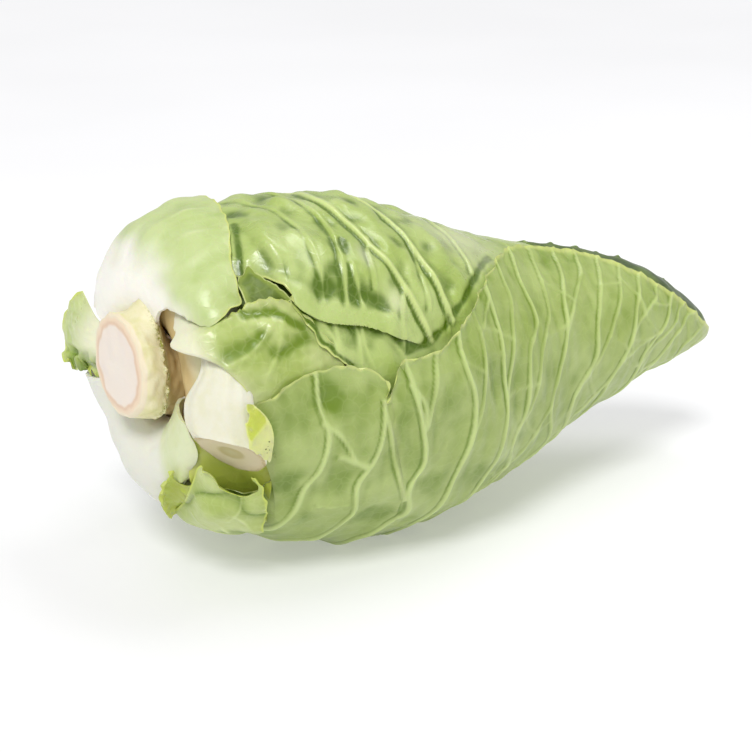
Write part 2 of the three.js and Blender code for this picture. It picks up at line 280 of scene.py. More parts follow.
# %% Vein height
def vein_field(points, routes, wide=5.0):
    """Narrow ridge and wide shoulder, both 0 to 1, of all veins at each point.

    A vein gives exp(-(distance / its width)^2). Where veins meet, their values join as
    1 - (1 - a)(1 - b), so that a junction stays smooth.
    """
    clear = np.ones(points.shape[:-1])
    clear_wide = np.ones(points.shape[:-1])
    reach = 2.2 * wide  # beyond this a vein adds almost nothing
    for path, width, strength in routes:
        near = ((points > path.min(0) - reach) & (points < path.max(0) + reach)).all(-1)
        place = points[near][:, None]
        start, step = path[:-1], np.diff(path, axis=0)
        share = ((place - start) * step).sum(-1) / np.maximum((step**2).sum(-1), 1e-9)
        share = np.clip(share, 0, 1)
        gap = np.linalg.norm(place - start - share[..., None] * step, axis=-1)
        size = width[:-1] + share * np.diff(width)
        clear[near] *= 1 - strength * np.exp(-(gap / size) ** 2).max(1)
        clear_wide[near] *= 1 - strength * np.exp(-(gap.min(1) / wide) ** 2)
    return 1 - clear, 1 - clear_wide


def waves(points, length, seed, count=16):
    """Smooth unevenness about -1 to 1: plane waves of about this length in mm, added up."""
    random = np.random.default_rng(seed)
    ways = random.normal(size=(count, 3))
    ways /= np.linalg.norm(ways, axis=1)[:, None]
    rates = 2 * np.pi / (length * random.uniform(0.7, 1.4, count))
    phases = random.uniform(0, 2 * np.pi, count)
    return np.sin(points @ (ways * rates[:, None]).T + phases).sum(-1) / np.sqrt(count)


def on_skin(places, lift=0.0, count=None):
    """A route of (station, bearing) places as points in mm, kept angular or made smooth."""
    route = np.asarray(places, float)
    if count:
        route = smooth_curve(route, count)
    return head_point(route[:, 0], route[:, 1], lift)


# %% [markdown]
# ## Materials
#
# Leaf colour follows structure: veins and the leaf base are nearly white, the blade is green,
# and thin torn edges turn yellow-green. So every leaf carries its vein, edge and base values as
# attributes of its mesh, and one recipe of nodes reads them. Wax gives a soft gloss, and light
# passes a little way into the flesh.

# %% Material helpers
def shade(red, green, blue):
    """A screen colour, 0 to 255, as the linear colour that a shader takes."""
    screen = np.array([red, green, blue]) / 255
    linear = np.where(screen <= 0.04045, screen / 12.92, ((screen + 0.055) / 1.055) ** 2.4)
    return (*linear.tolist(), 1.0)


class Nodes:
    """A short way to write a material's node tree."""

    def __init__(self, name):
        self.material = bpy.data.materials.new(name)
        self.material.use_nodes = True
        self.tree = self.material.node_tree
        self.shader = self.tree.nodes["Principled BSDF"]
        self.place = self.add("TexCoord").outputs["Object"]

    def add(self, kind, **settings):
        """A new node of this kind, with its settings and unlinked inputs."""
        node = self.tree.nodes.new("ShaderNode" + kind)
        for key, value in settings.items():
            if hasattr(node, key):
                setattr(node, key, value)
            else:
                node.inputs[key.replace("_", " ").title()].default_value = value
        return node

    def link(self, source, socket):
        """Joins an output to an input."""
        self.tree.links.new(source, socket)

    def mark(self, label):
        """A value that the mesh carries."""
        return self.add("Attribute", attribute_name=label).outputs["Fac"]

    def noise(self, scale, detail=3.0, roughness=0.5):
        """Noise from 0 to 1; scale is in waves per metre."""
        node = self.add("TexNoise", scale=scale, detail=detail, roughness=roughness)
        self.link(self.place, node.inputs["Vector"])
        return node.outputs["Fac"]

    def ramp(self, source, low, high, start=0.0, end=1.0):
        """Maps low..high to start..end smoothly."""
        node = self.add("MapRange", interpolation_type="SMOOTHSTEP")
        self.link(source, node.inputs["Value"])
        for socket, value in zip(("From Min", "From Max", "To Min", "To Max"),
                                 (low, high, start, end)):
            node.inputs[socket].default_value = value
        return node.outputs["Result"]

    def mix(self, amount, first, second):
        """Mixes two colours, given as outputs or as colours, by an output."""
        node = self.add("Mix", data_type="RGBA")
        self.link(amount, node.inputs["Factor"])
        for name, colour in (("A", first), ("B", second)):
            socket = next(s for s in node.inputs if s.name == name and s.type == "RGBA")
            if isinstance(colour, tuple):
                socket.default_value = colour
            else:
                self.link(colour, socket)
        return next(s for s in node.outputs if s.type == "RGBA")

    def maths(self, operation, first, second):
        """One operation on two values, given as outputs or as numbers."""
        node = self.add("Math", operation=operation)
        for socket, value in zip(node.inputs, (first, second)):
            if isinstance(value, (int, float)):
                socket.default_value = value
            else:
                self.link(value, socket)
        return node.outputs["Value"]

    def bump(self, height, depth_mm, strength=1.0):
        """Fine relief on the shader's normal."""
        node = self.add("Bump")
        node.inputs["Strength"].default_value = strength
        node.inputs["Distance"].default_value = depth_mm * MM
        self.link(height, node.inputs["Height"])
        self.link(node.outputs["Normal"], self.shader.inputs["Normal"])

    def finish(self, **values):
        """Sets uniform values on the shader's own sockets and returns the material."""
        for key, value in values.items():
            self.shader.inputs[key.replace("_", " ").title()].default_value = value
        return self.material


def leaf_material(name, blade, deep, light, vein, base, edge, gloss=(0.3, 0.46), flesh=0.16,
                  coat=0.12):
    """A waxy leaf: blade colour with deep and light patches, veins, pale base and edges.

    The colours are screen colours, 0 to 255.
    """
    blade, deep, light, vein, base, edge = (
        shade(*colour) for colour in (blade, deep, light, vein, base, edge))
    nodes = Nodes(name)
    patches = nodes.ramp(nodes.noise(38, 4, 0.55), 0.36, 0.66)
    fine = nodes.noise(420, 3, 0.6)
    colour = nodes.mix(patches, blade, light)
    streaks = nodes.ramp(nodes.noise(110, 4, 0.6), 0.5, 0.75, 0.0, 0.55)
    colour = nodes.mix(streaks, colour, light)
    # The hollow mark turns the colour to the deep green: partly the leaf's uneven tone, mostly
    # painted shade in dips, grooves, creases, pockets and under folds.
    colour = nodes.mix(nodes.ramp(nodes.mark("hollow"), 0.0, 1.0), colour, deep)
    net = nodes.add("TexVoronoi", feature="DISTANCE_TO_EDGE", scale=230.0)
    warp = nodes.add("TexNoise", scale=160.0, detail=2.0)
    nodes.link(nodes.place, warp.inputs["Vector"])
    bent = nodes.add("VectorMath", operation="MULTIPLY_ADD")
    nodes.link(warp.outputs["Color"], bent.inputs[0])
    bent.inputs[1].default_value = (0.004, 0.004, 0.004)
    nodes.link(nodes.place, bent.inputs[2])
    nodes.link(bent.outputs["Vector"], net.inputs["Vector"])
    mesh_lines = nodes.ramp(net.outputs["Distance"], 0.0, 0.11, 1.0, 0.0)
    colour = nodes.mix(nodes.maths("MULTIPLY", mesh_lines, 0.1), colour, vein)
    colour = nodes.mix(nodes.maths("MULTIPLY", fine, 0.1), colour, deep)
    colour = nodes.mix(nodes.ramp(nodes.mark("vein"), 0.14, 0.85, 0.0, 0.95), colour, vein)
    colour = nodes.mix(nodes.ramp(nodes.mark("pale"), 0.0, 1.0), colour, base)
    colour = nodes.mix(nodes.ramp(nodes.mark("edge"), 0.35, 1.0, 0.0, 0.9), colour, edge)
    nodes.link(colour, nodes.shader.inputs["Base Color"])
    shine = nodes.ramp(nodes.noise(90, 3, 0.6), 0.3, 0.7, gloss[0], gloss[1])
    nodes.link(shine, nodes.shader.inputs["Roughness"])
    height = nodes.maths("ADD", nodes.maths("MULTIPLY", mesh_lines, 0.22),
                         nodes.maths("MULTIPLY", fine, 0.5))
    nodes.bump(height, 0.22, 0.7)
    nodes.shader.inputs["Subsurface Radius"].default_value = (0.6, 1.0, 0.25)
    return nodes.finish(subsurface_weight=flesh, subsurface_scale=2.5 * MM, coat_weight=coat,
                        coat_roughness=0.16)


# %% [markdown]
# ## Floor, light and camera
#
# The head is seen from the front and a little above, through a long lens, and lies on a pale
# floor in bright, soft light that comes from the upper left. They are made before the leaves so
# that each new piece can be looked at at once.

# %% Camera
SENSOR = 36.0
LENS = 84.7
CAMERA_TURN = 55.38  # degrees from +X to the view's heading
CAMERA_FALL = 17.32  # degrees below the horizon
CAMERA_DISTANCE = 666.1
LOOKED_AT = np.array([105.0, 0.0, 0.0])
OFF_RIGHT, OFF_UP = -0.0237, -0.0283  # the picture's middle, beside what is looked at

turn, fall = np.radians([CAMERA_TURN, CAMERA_FALL])
ahead = np.array([np.cos(fall) * np.cos(turn), np.cos(fall) * np.sin(turn), -np.sin(fall)])
right = np.array([np.sin(turn), -np.cos(turn), 0])
above = np.cross(right, ahead)
heading = Vector(ahead + OFF_RIGHT * right + OFF_UP * above)
camera_data = bpy.data.cameras.new("camera")
camera_data.sensor_width = SENSOR
camera_data.lens = LENS
camera = bpy.data.objects.new("camera", camera_data)
camera.location = to_frame(LOOKED_AT - CAMERA_DISTANCE * ahead)
camera.rotation_euler = heading.to_track_quat("-Z", "Y").to_euler()
bpy.context.collection.objects.link(camera)
bpy.context.scene.camera = camera
print("camera at", [round(value, 3) for value in camera.location])

# %% Floor and light
floor_nodes = Nodes("floor")
grain = floor_nodes.ramp(floor_nodes.noise(3, 2), 0.3, 0.7)
floor_colour = floor_nodes.mix(grain, shade(212, 212, 214), shade(216, 216, 218))
floor_nodes.link(floor_colour, floor_nodes.shader.inputs["Base Color"])
floor_nodes.shader.inputs["Emission Color"].default_value = (1, 1, 1, 1)
floor_material = floor_nodes.finish(roughness=0.7, emission_strength=0.3)

FLOOR_HALF = 4.0  # metres
FLOOR_DROP = 0.0002  # metres below the resting face, so that the two don't coincide
STUDIO_LIGHT = 0.47  # strength of the light from all round
HEAD_MIDDLE = (0, 0, 0.06)  # what the lamps are turned towards
KEY_PLACE, KEY_STRENGTH, KEY_WIDTH = (-0.62, -0.55, 1.1), 1.85, 21  # the width is in degrees
SOFTBOX_PLACE, SOFTBOX_SIZE, SOFTBOX_WATTS = (0.3, 0.0, 0.9), (0.6, 0.3), 2.4

floor_mesh = bpy.data.meshes.new("floor")
floor_mesh.from_pydata([(x * FLOOR_HALF, y * FLOOR_HALF, -FLOOR_DROP)
                        for x, y in ((-1, -1), (1, -1), (1, 1), (-1, 1))], [], [(0, 1, 2, 3)])
floor_mesh.materials.append(floor_material)
floor = bpy.data.objects.new("floor", floor_mesh)
bpy.context.collection.objects.link(floor)

world = bpy.data.worlds.new("studio")
world.use_nodes = True
background = world.node_tree.nodes["Background"]
background.inputs["Color"].default_value = (1, 1, 1, 1)
background.inputs["Strength"].default_value = STUDIO_LIGHT
bpy.context.scene.world = world
bpy.context.scene.view_settings.view_transform = "Standard"
bpy.context.scene.view_settings.look = "None"


def aim(lamp, place):
    """Puts a lamp at a place in metres and turns it towards the head's middle."""
    lamp.location = place
    way = Vector(HEAD_MIDDLE) - Vector(place)
    lamp.rotation_euler = way.to_track_quat("-Z", "Y").to_euler()
    bpy.context.collection.objects.link(lamp)


sun = bpy.data.lights.new("key", "SUN")
sun.energy, sun.angle = KEY_STRENGTH, np.radians(KEY_WIDTH)
aim(bpy.data.objects.new("key", sun), KEY_PLACE)
softbox = bpy.data.lights.new("softbox", "AREA")
softbox.shape, softbox.energy = "RECTANGLE", SOFTBOX_WATTS
softbox.size, softbox.size_y = SOFTBOX_SIZE
aim(bpy.data.objects.new("softbox", softbox), SOFTBOX_PLACE)

# %% [markdown]
# ## Growing a leaf
#
# All leaves share one construction, so each leaf below says only what is its own: its three
# lines, its walls, its relief and its material. The relief is a function of the grid. It can
# move places along the skin, which makes a pleat, and change their lift.

# %% A leaf from lines, veins and relief
def smooth_step(value, low, high):
    """0 below low, 1 above high and 3 t^2 - 2 t^3 between."""
    t = np.clip((value - low) / (high - low), 0, 1)
    return t * t * (3 - 2 * t)


def local_mean(field, reach):
    """The field averaged over a square of 2 reach + 1 places, by running sums both ways."""
    for axis in (0, 1):
        border = [(reach + 1, reach) if k == axis else (0, 0) for k in (0, 1)]
        sums = np.cumsum(np.pad(field, border, mode="edge"), axis)
        count = field.shape[axis]
        ends = np.take(sums, np.arange(count) + 2 * reach + 1, axis)
        field = (ends - np.take(sums, np.arange(count), axis)) / (2 * reach + 1)
    return field


DIP_DEPTH = 0.7  # mm of dip that counts as 1 for the hollow colour, which follows -0.5 to 0.8
ROLL_LIMIT = 4.2  # radians that a rolled margin turns at most


def grow_leaf(name, lines, walls, size, relief, material, node, stretch=1.0, step=4,
              roll=None, scale=1.0, wall_scale=None):
    """Builds a leaf on the head and hides the CAD nodes that it stands for.

    Columns lie at s^stretch across the leaf. A roll is (width, radius, way): the first margin's
    last mm roll up into an arc, outwards or inwards, where width is a function of u. The relief
    function gets the grid and returns the smooth and the fine height in mm, with the marks that
    the material reads.
    """
    rows, columns = size
    u, s = np.meshgrid(np.linspace(0, 1, rows), np.linspace(0, 1, columns), indexing="ij")
    v = s**stretch
    lift_gain = np.zeros_like(v)
    station, bearing, lift = ruled(lines, v)
    points = head_point(station, bearing, lift, scale)
    across = grid_length(points, 1)
    if roll:
        width, radius, way = roll
        rolled = np.clip(width(u) - across, 0, None)
        angle = np.minimum(rolled / radius, ROLL_LIMIT)
        back = rolled - radius * np.sin(angle)
        v = np.clip(v + back / across[:, -1:], 0, 1)
        lift_gain = way * radius * (1 - np.cos(angle))
        station, bearing, lift = ruled(lines, v)
    grid = {"station": station, "bearing": bearing, "lift": lift + lift_gain, "u": u, "v": v,
            "points": points, "near": across, "far": across[:, -1:] - across,
            "head": grid_length(points, 0)}
    grid["foot"] = grid["head"][-1:] - grid["head"]
    soft, fine, marks = relief(grid)
    station, bearing = grid["station"], grid["bearing"]
    edge_distance = np.minimum(np.minimum(grid["near"], grid["far"]),
                               np.minimum(grid["head"], grid["foot"]))
    wall = np.tensordot(walls, across_weights(v), 1)  # and thinner towards every margin
    wall = wall * (0.3 + 0.7 * smooth_step(edge_distance, 0, 7))
    outer = head_point(station, bearing, grid["lift"] + soft + fine, scale)
    inner = head_point(station, bearing, grid["lift"] + soft - wall, wall_scale or scale)
    every = {label: np.zeros_like(v) for label in ("vein", "hollow", "pale", "edge")}
    every.update(marks)
    # Painted shade: where the relief dips below its local mean, the hollow mark darkens the colour
    # as shade in a hollow, and ridges stay lighter.
    dip = local_mean(soft + fine, 5) - soft - fine  # hollows keep more colour than ridges
    every["hollow"] = np.clip(every["hollow"] + 0.9 * np.clip(dip / DIP_DEPTH, -0.5, 0.8), 0, 1)
    piece = sheet_piece(name, outer, inner[::step, ::step], step, every)
    dress(piece, material)
    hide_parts(node)
    low, high = outer.reshape(-1, 3).min(0) + SHIFT, outer.reshape(-1, 3).max(0) + SHIFT
    print(f"{name}: {len(piece.data.polygons)} faces, x {low[0]:.0f} to {high[0]:.0f} mm")
    return piece


def edge_mark(distance, width=1.1):
    """1 at a margin, falling to 0 inside."""
    return np.exp(-(distance / width) ** 2)


def fray(grid, distance, size, seed, length=9.0, depth=4.0):
    """Makes a margin ragged: places near it move along the skin by size mm of uneven waves."""
    reach = np.maximum(GIRTH * np.interp(grid["station"], stations, skin[:, 1]), 12)
    fall = size * np.exp(-distance / depth)
    grid["station"] = grid["station"] + fall * waves(grid["points"], length, seed)
    turn = fall * waves(grid["points"], 0.6 * length, seed + 1)
    grid["bearing"] = grid["bearing"] + np.degrees(turn / reach)


def between_at(path, index):
    """A place of a path by its index, held at its ends."""
    return path[int(np.clip(index, 0, len(path) - 1))]


def vein_net(laterals, random, sizes=(1.5, 0.7), ties=0.6):
    """All veins of one side of a blade: laterals, a fork between each two, and ties across.

    Laterals are arrays of (station, bearing) places, equally many in each.
    """
    routes, forks = [], []
    for path in laterals:
        routes.append((on_skin(path), np.linspace(*sizes, len(path)), 1.0))
    for left, beyond in zip(laterals[:-1], laterals[1:]):
        between = 0.5 * (left + beyond) + random.normal(0, 1.2, left.shape)
        first = 3 + int(random.integers(0, 2))
        fork = np.vstack([beyond[first - 1], between[first:]])
        forks.append((first, fork))
        routes.append((on_skin(fork), np.linspace(0.6, 0.35, len(fork)) * sizes[0], 0.75))
    for left, beyond, (first, fork) in zip(laterals[:-1], laterals[1:], forks):
        for k in range(1, len(left) - 1):
            rise = int(random.integers(0, 2))
            if k <= first:
                if random.random() < ties + 0.1:
                    middle = 0.5 * (left[k] + beyond[k + rise]) + random.normal(0, 1.5, 2)
                    tie = [left[k], middle, beyond[k + rise]]
                    routes.append((on_skin(tie), np.array([0.5, 0.35, 0.5]) * sizes[0], 0.6))
                continue
            here = between_at(fork, k - first + 1)
            for side, offset in ((left, rise - 1), (beyond, rise)):
                if random.random() < ties:
                    middle = 0.5 * (side[k + offset] + here) + random.normal(0, 1.2, 2)
                    tie = [side[k + offset], middle, here]
                    routes.append((on_skin(tie), np.array([0.42, 0.3, 0.4]) * sizes[0], 0.5))
    return routes


def side_laterals(starts, rib, sway, random, kink=1.3):
    """Lateral veins from a rib at this bearing, one for each start station.

    All follow the common sway, (bearing, station) away from their start, with kinks of their own.
    """
    sway = np.asarray(sway, float)
    return [np.stack([start + sway[:, 1] + random.normal(0, kink, len(sway)),
                      rib + sway[:, 0] + random.normal(0, 1.2 * kink, len(sway))], -1)
            for start in starts]


# %% [markdown]
# ## The front wrapper leaf
#
# The largest leaf covers the front and underside and runs to the point. Its outside faces us, so
# its veins stand out as pale, rounded ridges that sway towards the upper margin, tied by thinner
# veins. It has a torn left edge by the cut stalk, and a notch in its upper margin. The rest of that
# margin and the laterals follow rules.

# %% The front leaf's upper margin
MARGIN_TOP, MARGIN_END = 200, 283.4  # stations of the margin's highest place and of its end


def upper_margin(station):
    """Bearing of the front leaf's upper margin.

    It rises by a smooth step from 16 to 66 degrees between stations 95 and 182, and falls to the
    point as a quarter of a cosine.
    """
    fall = np.clip((station - MARGIN_TOP) / (MARGIN_END - MARGIN_TOP), 0, 1)
    return (16 + 50 * smooth_step(station, 95, 182)) * np.cos(0.5 * np.pi * fall)


def upper_lift(station):
    """Lift of that margin: it sinks by 1.5 mm where the leaf tucks in, and comes up at the end."""
    return 0.4 - 1.5 * smooth_step(station, 140, 185) + 0.8 * smooth_step(station, 215, 275)


print(f"the margin is highest at {upper_margin(MARGIN_TOP):.0f} degrees")

# %% The net of veins on the front leaf
FRONT_RIB = -84  # bearing of the midrib
# Laterals at the stump's end: station at the midrib, (station, bearing) at the margin, and how far
# they bow towards the point.
FRONT_LATERALS = [(40, (61, 17), 10), (62, (84, 5), 6), (84, (93, 17), 12), (104, (117, 27), 8),
                  (122, (137, 42), 9)]
CONE_LATERALS = range(137, 262, 17)  # the others: stations at the midrib
# One that rooted the first number before the margin's end would end the second before it.
CONE_ROOTS, CONE_TIPS = 149, 123
# Side veins near the stump: both ends.
FRONT_BRANCHES = [[(63, -2), (75, -15)], [(66, -34), (76, -33)], [(98, -32), (84, 2)],
                  [(100, -5), (94, 9)], [(101, -4), (106, 18)]]
FRONT_TICK = [(70, -14), (79, -17)]  # a short pale scar across a vein
# Sway of the laterals on the underside: (bearing, station) away from their start.
BACK_SWAY = [(0, -16), (-14, -4), (-28, 2), (-42, 5), (-56, 4), (-70, 2)]


def lateral(root, rib, tip, bow, random, kink=1.8, sway=0.0, count=10):
    """A vein from the midrib to its tip, a (station, bearing) place.

    With t from 0 to 1 the station is root + (tip - root) t + bow sin(pi t), plus small kinks of
    its own and the sway that neighbours share.
    """
    t = np.linspace(0, 1, count)
    kinks = (random.normal(0, kink, count) + sway) * np.sqrt(np.sin(np.pi * t).clip(0))
    turns = random.normal(0, 1.5 * kink, count) * np.sin(np.pi * t)
    return np.stack([root + (tip[0] - root) * t + bow * np.sin(np.pi * t) + kinks,
                     rib + (tip[1] - rib) * t + turns], -1)


def side_veins(ends, random, width, strength):
    """Short veins between two places each, with one small kink in the middle."""
    routes = []
    for first, last in ends:
        middle = 0.5 * np.add(first, last) + random.normal(0, 1.5, 2)
        path = on_skin([first, middle, last], count=18)
        routes.append((path, np.linspace(width, 0.7 * width, 18), strength))
    return routes


def cone_tip(root):
    """Where a lateral of the point ends: tips crowd together as the square of what is left."""
    station = MARGIN_END - CONE_TIPS * ((MARGIN_END - root) / CONE_ROOTS) ** 2
    return station, upper_margin(station)


def drawn_veins(veins, strength=1.0):
    """Routes on the skin for veins, smooth through their places."""
    return [(on_skin(places, count=6 * len(places)),
             np.linspace(start, end, 6 * len(places)), strength) for places, start, end in veins]


def random_ties(veins, random, count, low, high):
    """Thin, kinked veins between random places of different drawn veins, low..high mm apart."""
    owner = np.concatenate([np.full(20, n) for n in range(len(veins))])
    spots = np.concatenate([smooth_curve(places, 20) for places, _, _ in veins])
    where = on_skin(spots)
    gaps = np.linalg.norm(where[:, None] - where[None], axis=-1)
    free = spots[:, 0] > 92  # the drawn veins are close enough before that
    pairs = np.argwhere((gaps > low) & (gaps < high) & (owner[:, None] < owner[None])
                        & free[:, None] & free)
    chosen = pairs[random.permutation(len(pairs))[:count]]
    ties = []
    for first, last in chosen:
        middle = 0.5 * (spots[first] + spots[last]) + random.normal(0, 1.6, 2)
        path = on_skin([spots[first], middle, spots[last]])
        ties.append((path, np.array([0.75, 0.65, 0.7]), 0.4))
    return ties


def branches(laterals, random):
    """Thinner veins: one leaves each lateral for the middle of the next gap, one ties it across."""
    veins = []
    for left, beyond in zip(laterals[:-1], laterals[1:]):
        first = int(random.integers(4, 7))
        share = smooth_step(np.linspace(0, 1, len(left) - first), 0, 0.6)[:, None]
        veins.append((left[first:] + 0.5 * share * (beyond - left)[first:], 0.8, 0.6))
        low = int(random.integers(2, first))
        middle = 0.5 * (left[low] + beyond[low + 1]) + random.normal(0, 1.5, 2)
        veins.append((np.array([left[low], middle, beyond[low + 1]]), 0.75, 0.6))
    return veins


def front_leaf_veins():
    """The front leaf's veins on both sides of its midrib, which runs along the underside."""
    random = np.random.default_rng(7)
    rib = on_skin([(14, -84), (60, -85), (120, -85), (200, -80), (283, -70)], count=40)
    near = [lateral(root, FRONT_RIB, tip, bow, random) for root, tip, bow in FRONT_LATERALS]
    sway = random.normal(0, 2.6, 10)
    cone = [lateral(root + random.normal(0, 3), FRONT_RIB, cone_tip(root), 0, random,
                    kink=2.3 - (root - CONE_LATERALS.start) / 90,
                    sway=sway * (1 - (root - CONE_LATERALS.start) / 220))
            for root in CONE_LATERALS]
    thin = branches(near[3:] + cone[:-2], random)
    routes = [(rib, np.linspace(4.2, 1.0, 40), 1.0)]
    routes += drawn_veins([(path, 1.0, 0.7) for path in near])
    routes += drawn_veins([(path, 1.0, 0.7) for path in cone], 0.75) + drawn_veins(thin, 0.6)
    routes += side_veins(FRONT_BRANCHES, random, 0.95, 0.7)
    routes += drawn_veins([(FRONT_TICK, 1.3, 1.2)], 0.8)
    routes += random_ties([(path, 1, 1) for path in near + cone] + thin, random, count=40,
                          low=11, high=20)
    starts = range(40, 270, 22)
    return routes + vein_net(side_laterals(starts, FRONT_RIB, BACK_SWAY, random), random)


front_veins = front_leaf_veins()
print(len(front_veins), "veins on the front leaf")

# %% The front leaf
BOWL = (63, 7)  # station and bearing of a dent in the blade
GROOVE_SIDE = np.array([1.2, 0, 0])  # the blade dips beside each vein, on the stump's side


def front_relief(grid):
    """Veins stand out, the blade is drawn up to them, and the upper margin turns up a little."""
    station, bearing, near = (grid[key] for key in ("station", "bearing", "near"))
    points = head_point(station, bearing, 0 * station)
    ridge, shoulder = vein_field(points, front_veins, wide=4)
    groove, _ = vein_field(points + GROOVE_SIDE, front_veins, wide=2)
    groove = np.clip(groove - ridge, 0, 1)
    fade = smooth_step(station, 18, 44) * (1 - smooth_step(station, 255, 284))
    cone = smooth_step(station, 130, 190)
    soft = (1 - 0.5 * cone) * shoulder * fade
    soft += (1 - 0.5 * cone) * (0.9 * waves(points, 46, 3) + 0.6 * waves(points, 21, 4))
    soft *= np.clip(near / 8, 0.25, 1)
    bowl = np.exp(-((station - BOWL[0]) / 6) ** 2 - ((bearing - BOWL[1]) / 6) ** 2)
    soft += (0.7 * np.exp(-near / 3.5) + 0.6 * np.exp(-near / 1.2)
             + 0.35 * waves(points, 8, 5) * np.exp(-near / 5) - 1.6 * bowl)
    soft *= np.clip((HEAD_LENGTH - station) / 25, 0.1, 1)
    fine = (0.62 * ridge - 0.4 * groove) * fade + 0.05 * waves(points, 6, 6)
    streaks = waves(points * (1, 0.3, 0.3), 6, 12)
    soft += 0.18 * streaks * fade
    hollow = np.clip(0.35 + 0.4 * waves(points, 19, 9), 0, 1) * (1 - shoulder) * 0.5
    # Painted shade: the dent and the dip beside each vein turn deep green; the rest is uneven tone.
    hollow = np.clip(hollow + 0.22 * streaks + 1.1 * bowl + 0.8 * groove * fade, 0, 1)
    pale = 1 - smooth_step(station, 12, 34) + 0.2 * smooth_step(station, 240, 284)
    fray(grid, near, 0.5, 31, length=7, depth=3)
    mark = np.clip(0.66 * ridge + 0.22 * shoulder**2 + 0.1 * streaks, 0, 1) * fade
    return soft, fine, {"vein": mark, "hollow": hollow, "pale": pale,
                        "edge": 0.8 * edge_mark(near, 1.3 + 1.5 * cone)}


LEAF_GREEN = leaf_material(
    "outer_leaf", blade=(157, 175, 93), deep=(110, 136, 32),
    light=(175, 191, 116), vein=(194, 210, 136), base=(226, 230, 196),
    edge=(212, 222, 132))
MARGIN_STATIONS = np.append(np.arange(92, 280, 12), MARGIN_END)
TORN_END = [(14, -60, -1.5), (30, -45, -1), (43, -35, -0.4), (48, -20, 1), (45, -8, 3),
            (39, -3, 3.6), (38, 3, 3.8), (43, 6, 2.8), (48, 8, 1.6), (52, 12, 0.8), (60, 15, 0),
            (72, 16, 0)]
NOTCH = [(82, 13, 0), (86, 9, 0), (83, 3, -0.4), (86, 6, 0.6), (88, 12, 0.8)]
FRONT_LINES = [
    TORN_END + NOTCH + [(s, upper_margin(s), upper_lift(s)) for s in MARGIN_STATIONS],
    [(12, -84, -1.5), (50, -85, 0), (80, -86, 0), (160, -84, -0.4), (MARGIN_END, -70, 0)],
    [(14, -112, -1.5), (40, -130, -0.6), (80, -142, 0), (140, -150, 0), (200, -156, 0),
     (MARGIN_END, -150, 0)],
]
grow_leaf("front_wrapper", FRONT_LINES, (0.8, 0.9, 0.8), (449, 201), front_relief,
          LEAF_GREEN, "wrapper_leaf_front", stretch=1.8)

# %% [markdown]
# ## The top wrapper leaf
#
# This leaf lies under the front one and covers the top. It is glossy and strongly blistered
# between thick veins. Towards us it is pleated: the upper part folds over the lower part, and
# the pleat runs out to the right. The pleat is an S across the fold line. With t the distance
# from that line and q = t / 1.5 + 1, the place moves by -1.65 q exp(-q^2 / 2) times the
# overhang, and the lift by q / sqrt(1 + q^2) times the step.

# %% The top leaf
FOLD_OVERHANG = 3.4
FOLD_STEP = 1.6
TOP_GROOVE_SIDE = np.array([2.0, 0, 0])  # as on the front leaf, but further from the vein
TOP_RIB = 118  # bearing of the midrib
# Laterals: station at the midrib, (station, bearing) at the front end, the bow towards the point,
# the width at both ends, and the strength.
TOP_LATERALS = [(60, (70, 37), 9, (1.2, 0.7), 0.3), (78, (78, 35), 9, (1.3, 0.8), 0.4),
                (94, (109, 22), -6, (2.1, 1.0), 0.9), (112, (121, 28), -2, (2.1, 1.0), 0.9),
                (136, (140, 47), 5, (1.4, 0.8), 0.5)]
# Side veins: both ends.
TOP_BRANCHES = [[(103, 40), (96, 19)], [(119, 42), (118, 24)], [(85, 48), (84, 34)],
                [(98, 60), (91, 40)], [(116, 58), (111, 32)], [(88, 26), (97, 10)]]
TOP_BRANCHES += [[(station, 31), (station + 1, 14)] for station in range(67, 84, 5)]


def fold_line(station):
    """Bearing of the fold: it drops from 47 to 31 degrees, with a fall rate of 7 mm, then to 20."""
    return (31 + 16 * np.exp(-(np.maximum(station, 56) - 56) / 7)
            - 11 * smooth_step(station, 78, 112))


def top_leaf_veins():
    """Laterals and side veins in front, a midrib along the top and seeded laterals behind it."""
    random = np.random.default_rng(11)
    rib = on_skin([(14, 126), (60, 121), (120, 119), (200, 114), (262, 110)], count=40)
    routes = [(rib, np.linspace(5, 1.2, 40), 1.0)]
    for root, tip, bow, (start, end), strength in TOP_LATERALS:
        path = lateral(root, TOP_RIB, tip, bow, random, kink=0.8)
        routes.append((on_skin(path, count=30), np.linspace(start, end, 30), strength))
    routes += side_veins(TOP_BRANCHES, random, 0.9, 0.4)
    sway = [(0, -14), (14, -4), (28, 2), (42, 5), (56, 4), (70, 2)]
    return routes + vein_net(side_laterals(range(44, 250, 22), 120, sway, random), random)


top_veins = top_leaf_veins()
# The torn edge runs down and bends towards the point, with small waves: station, bearing, lift.
TORN_EDGE = [(58 + 5 * t + 10 * t**3 + 0.8 * np.sin(15 * t), 45 - 30 * t, 0.2 - 1.6 * t**3)
             for t in np.linspace(0, 1, 8)]
TOP_LINES = [
    [(13, 84, -3.4), (30, 64, -2.6), (45, 54, -1.4), (53, 50, -0.6), *TORN_EDGE, (80, 6, -2.6),
     (92, -3, -3), (114, 4, -3), (140, 22, -3), (170, 38, -4.6), (210, 46, -4.6), (262, 36, -4.6)],
    [(13, 128, -4.6), (60, 122, -2.8), (95, 120, -3.2), (130, 120, -4.8), (160, 119, -5.7),
     (190, 118, -5.9), (262, 110, -5.6)],
    [(13, 172, -4.8), (40, 188, -4.8), (100, 202, -4.8), (180, 212, -4.8), (262, 190, -4.8)],
]
# Shaded strips beside the trimmed leaf, in one small dent, under the front leaf's margin and along
# the torn edge: places and width.
TOP_SHADES = [
    ([(55, 76), (50, 62), (46, 50)], 1.4), ([(86, 58), (84, 53)], 1.8),
    ([(station, upper_margin(station) + 3) for station in range(97, 158, 10)], 1.5),
    ([(station + 1, bearing + 1) for station, bearing, _ in TORN_EDGE[2:]], 1.0),
]
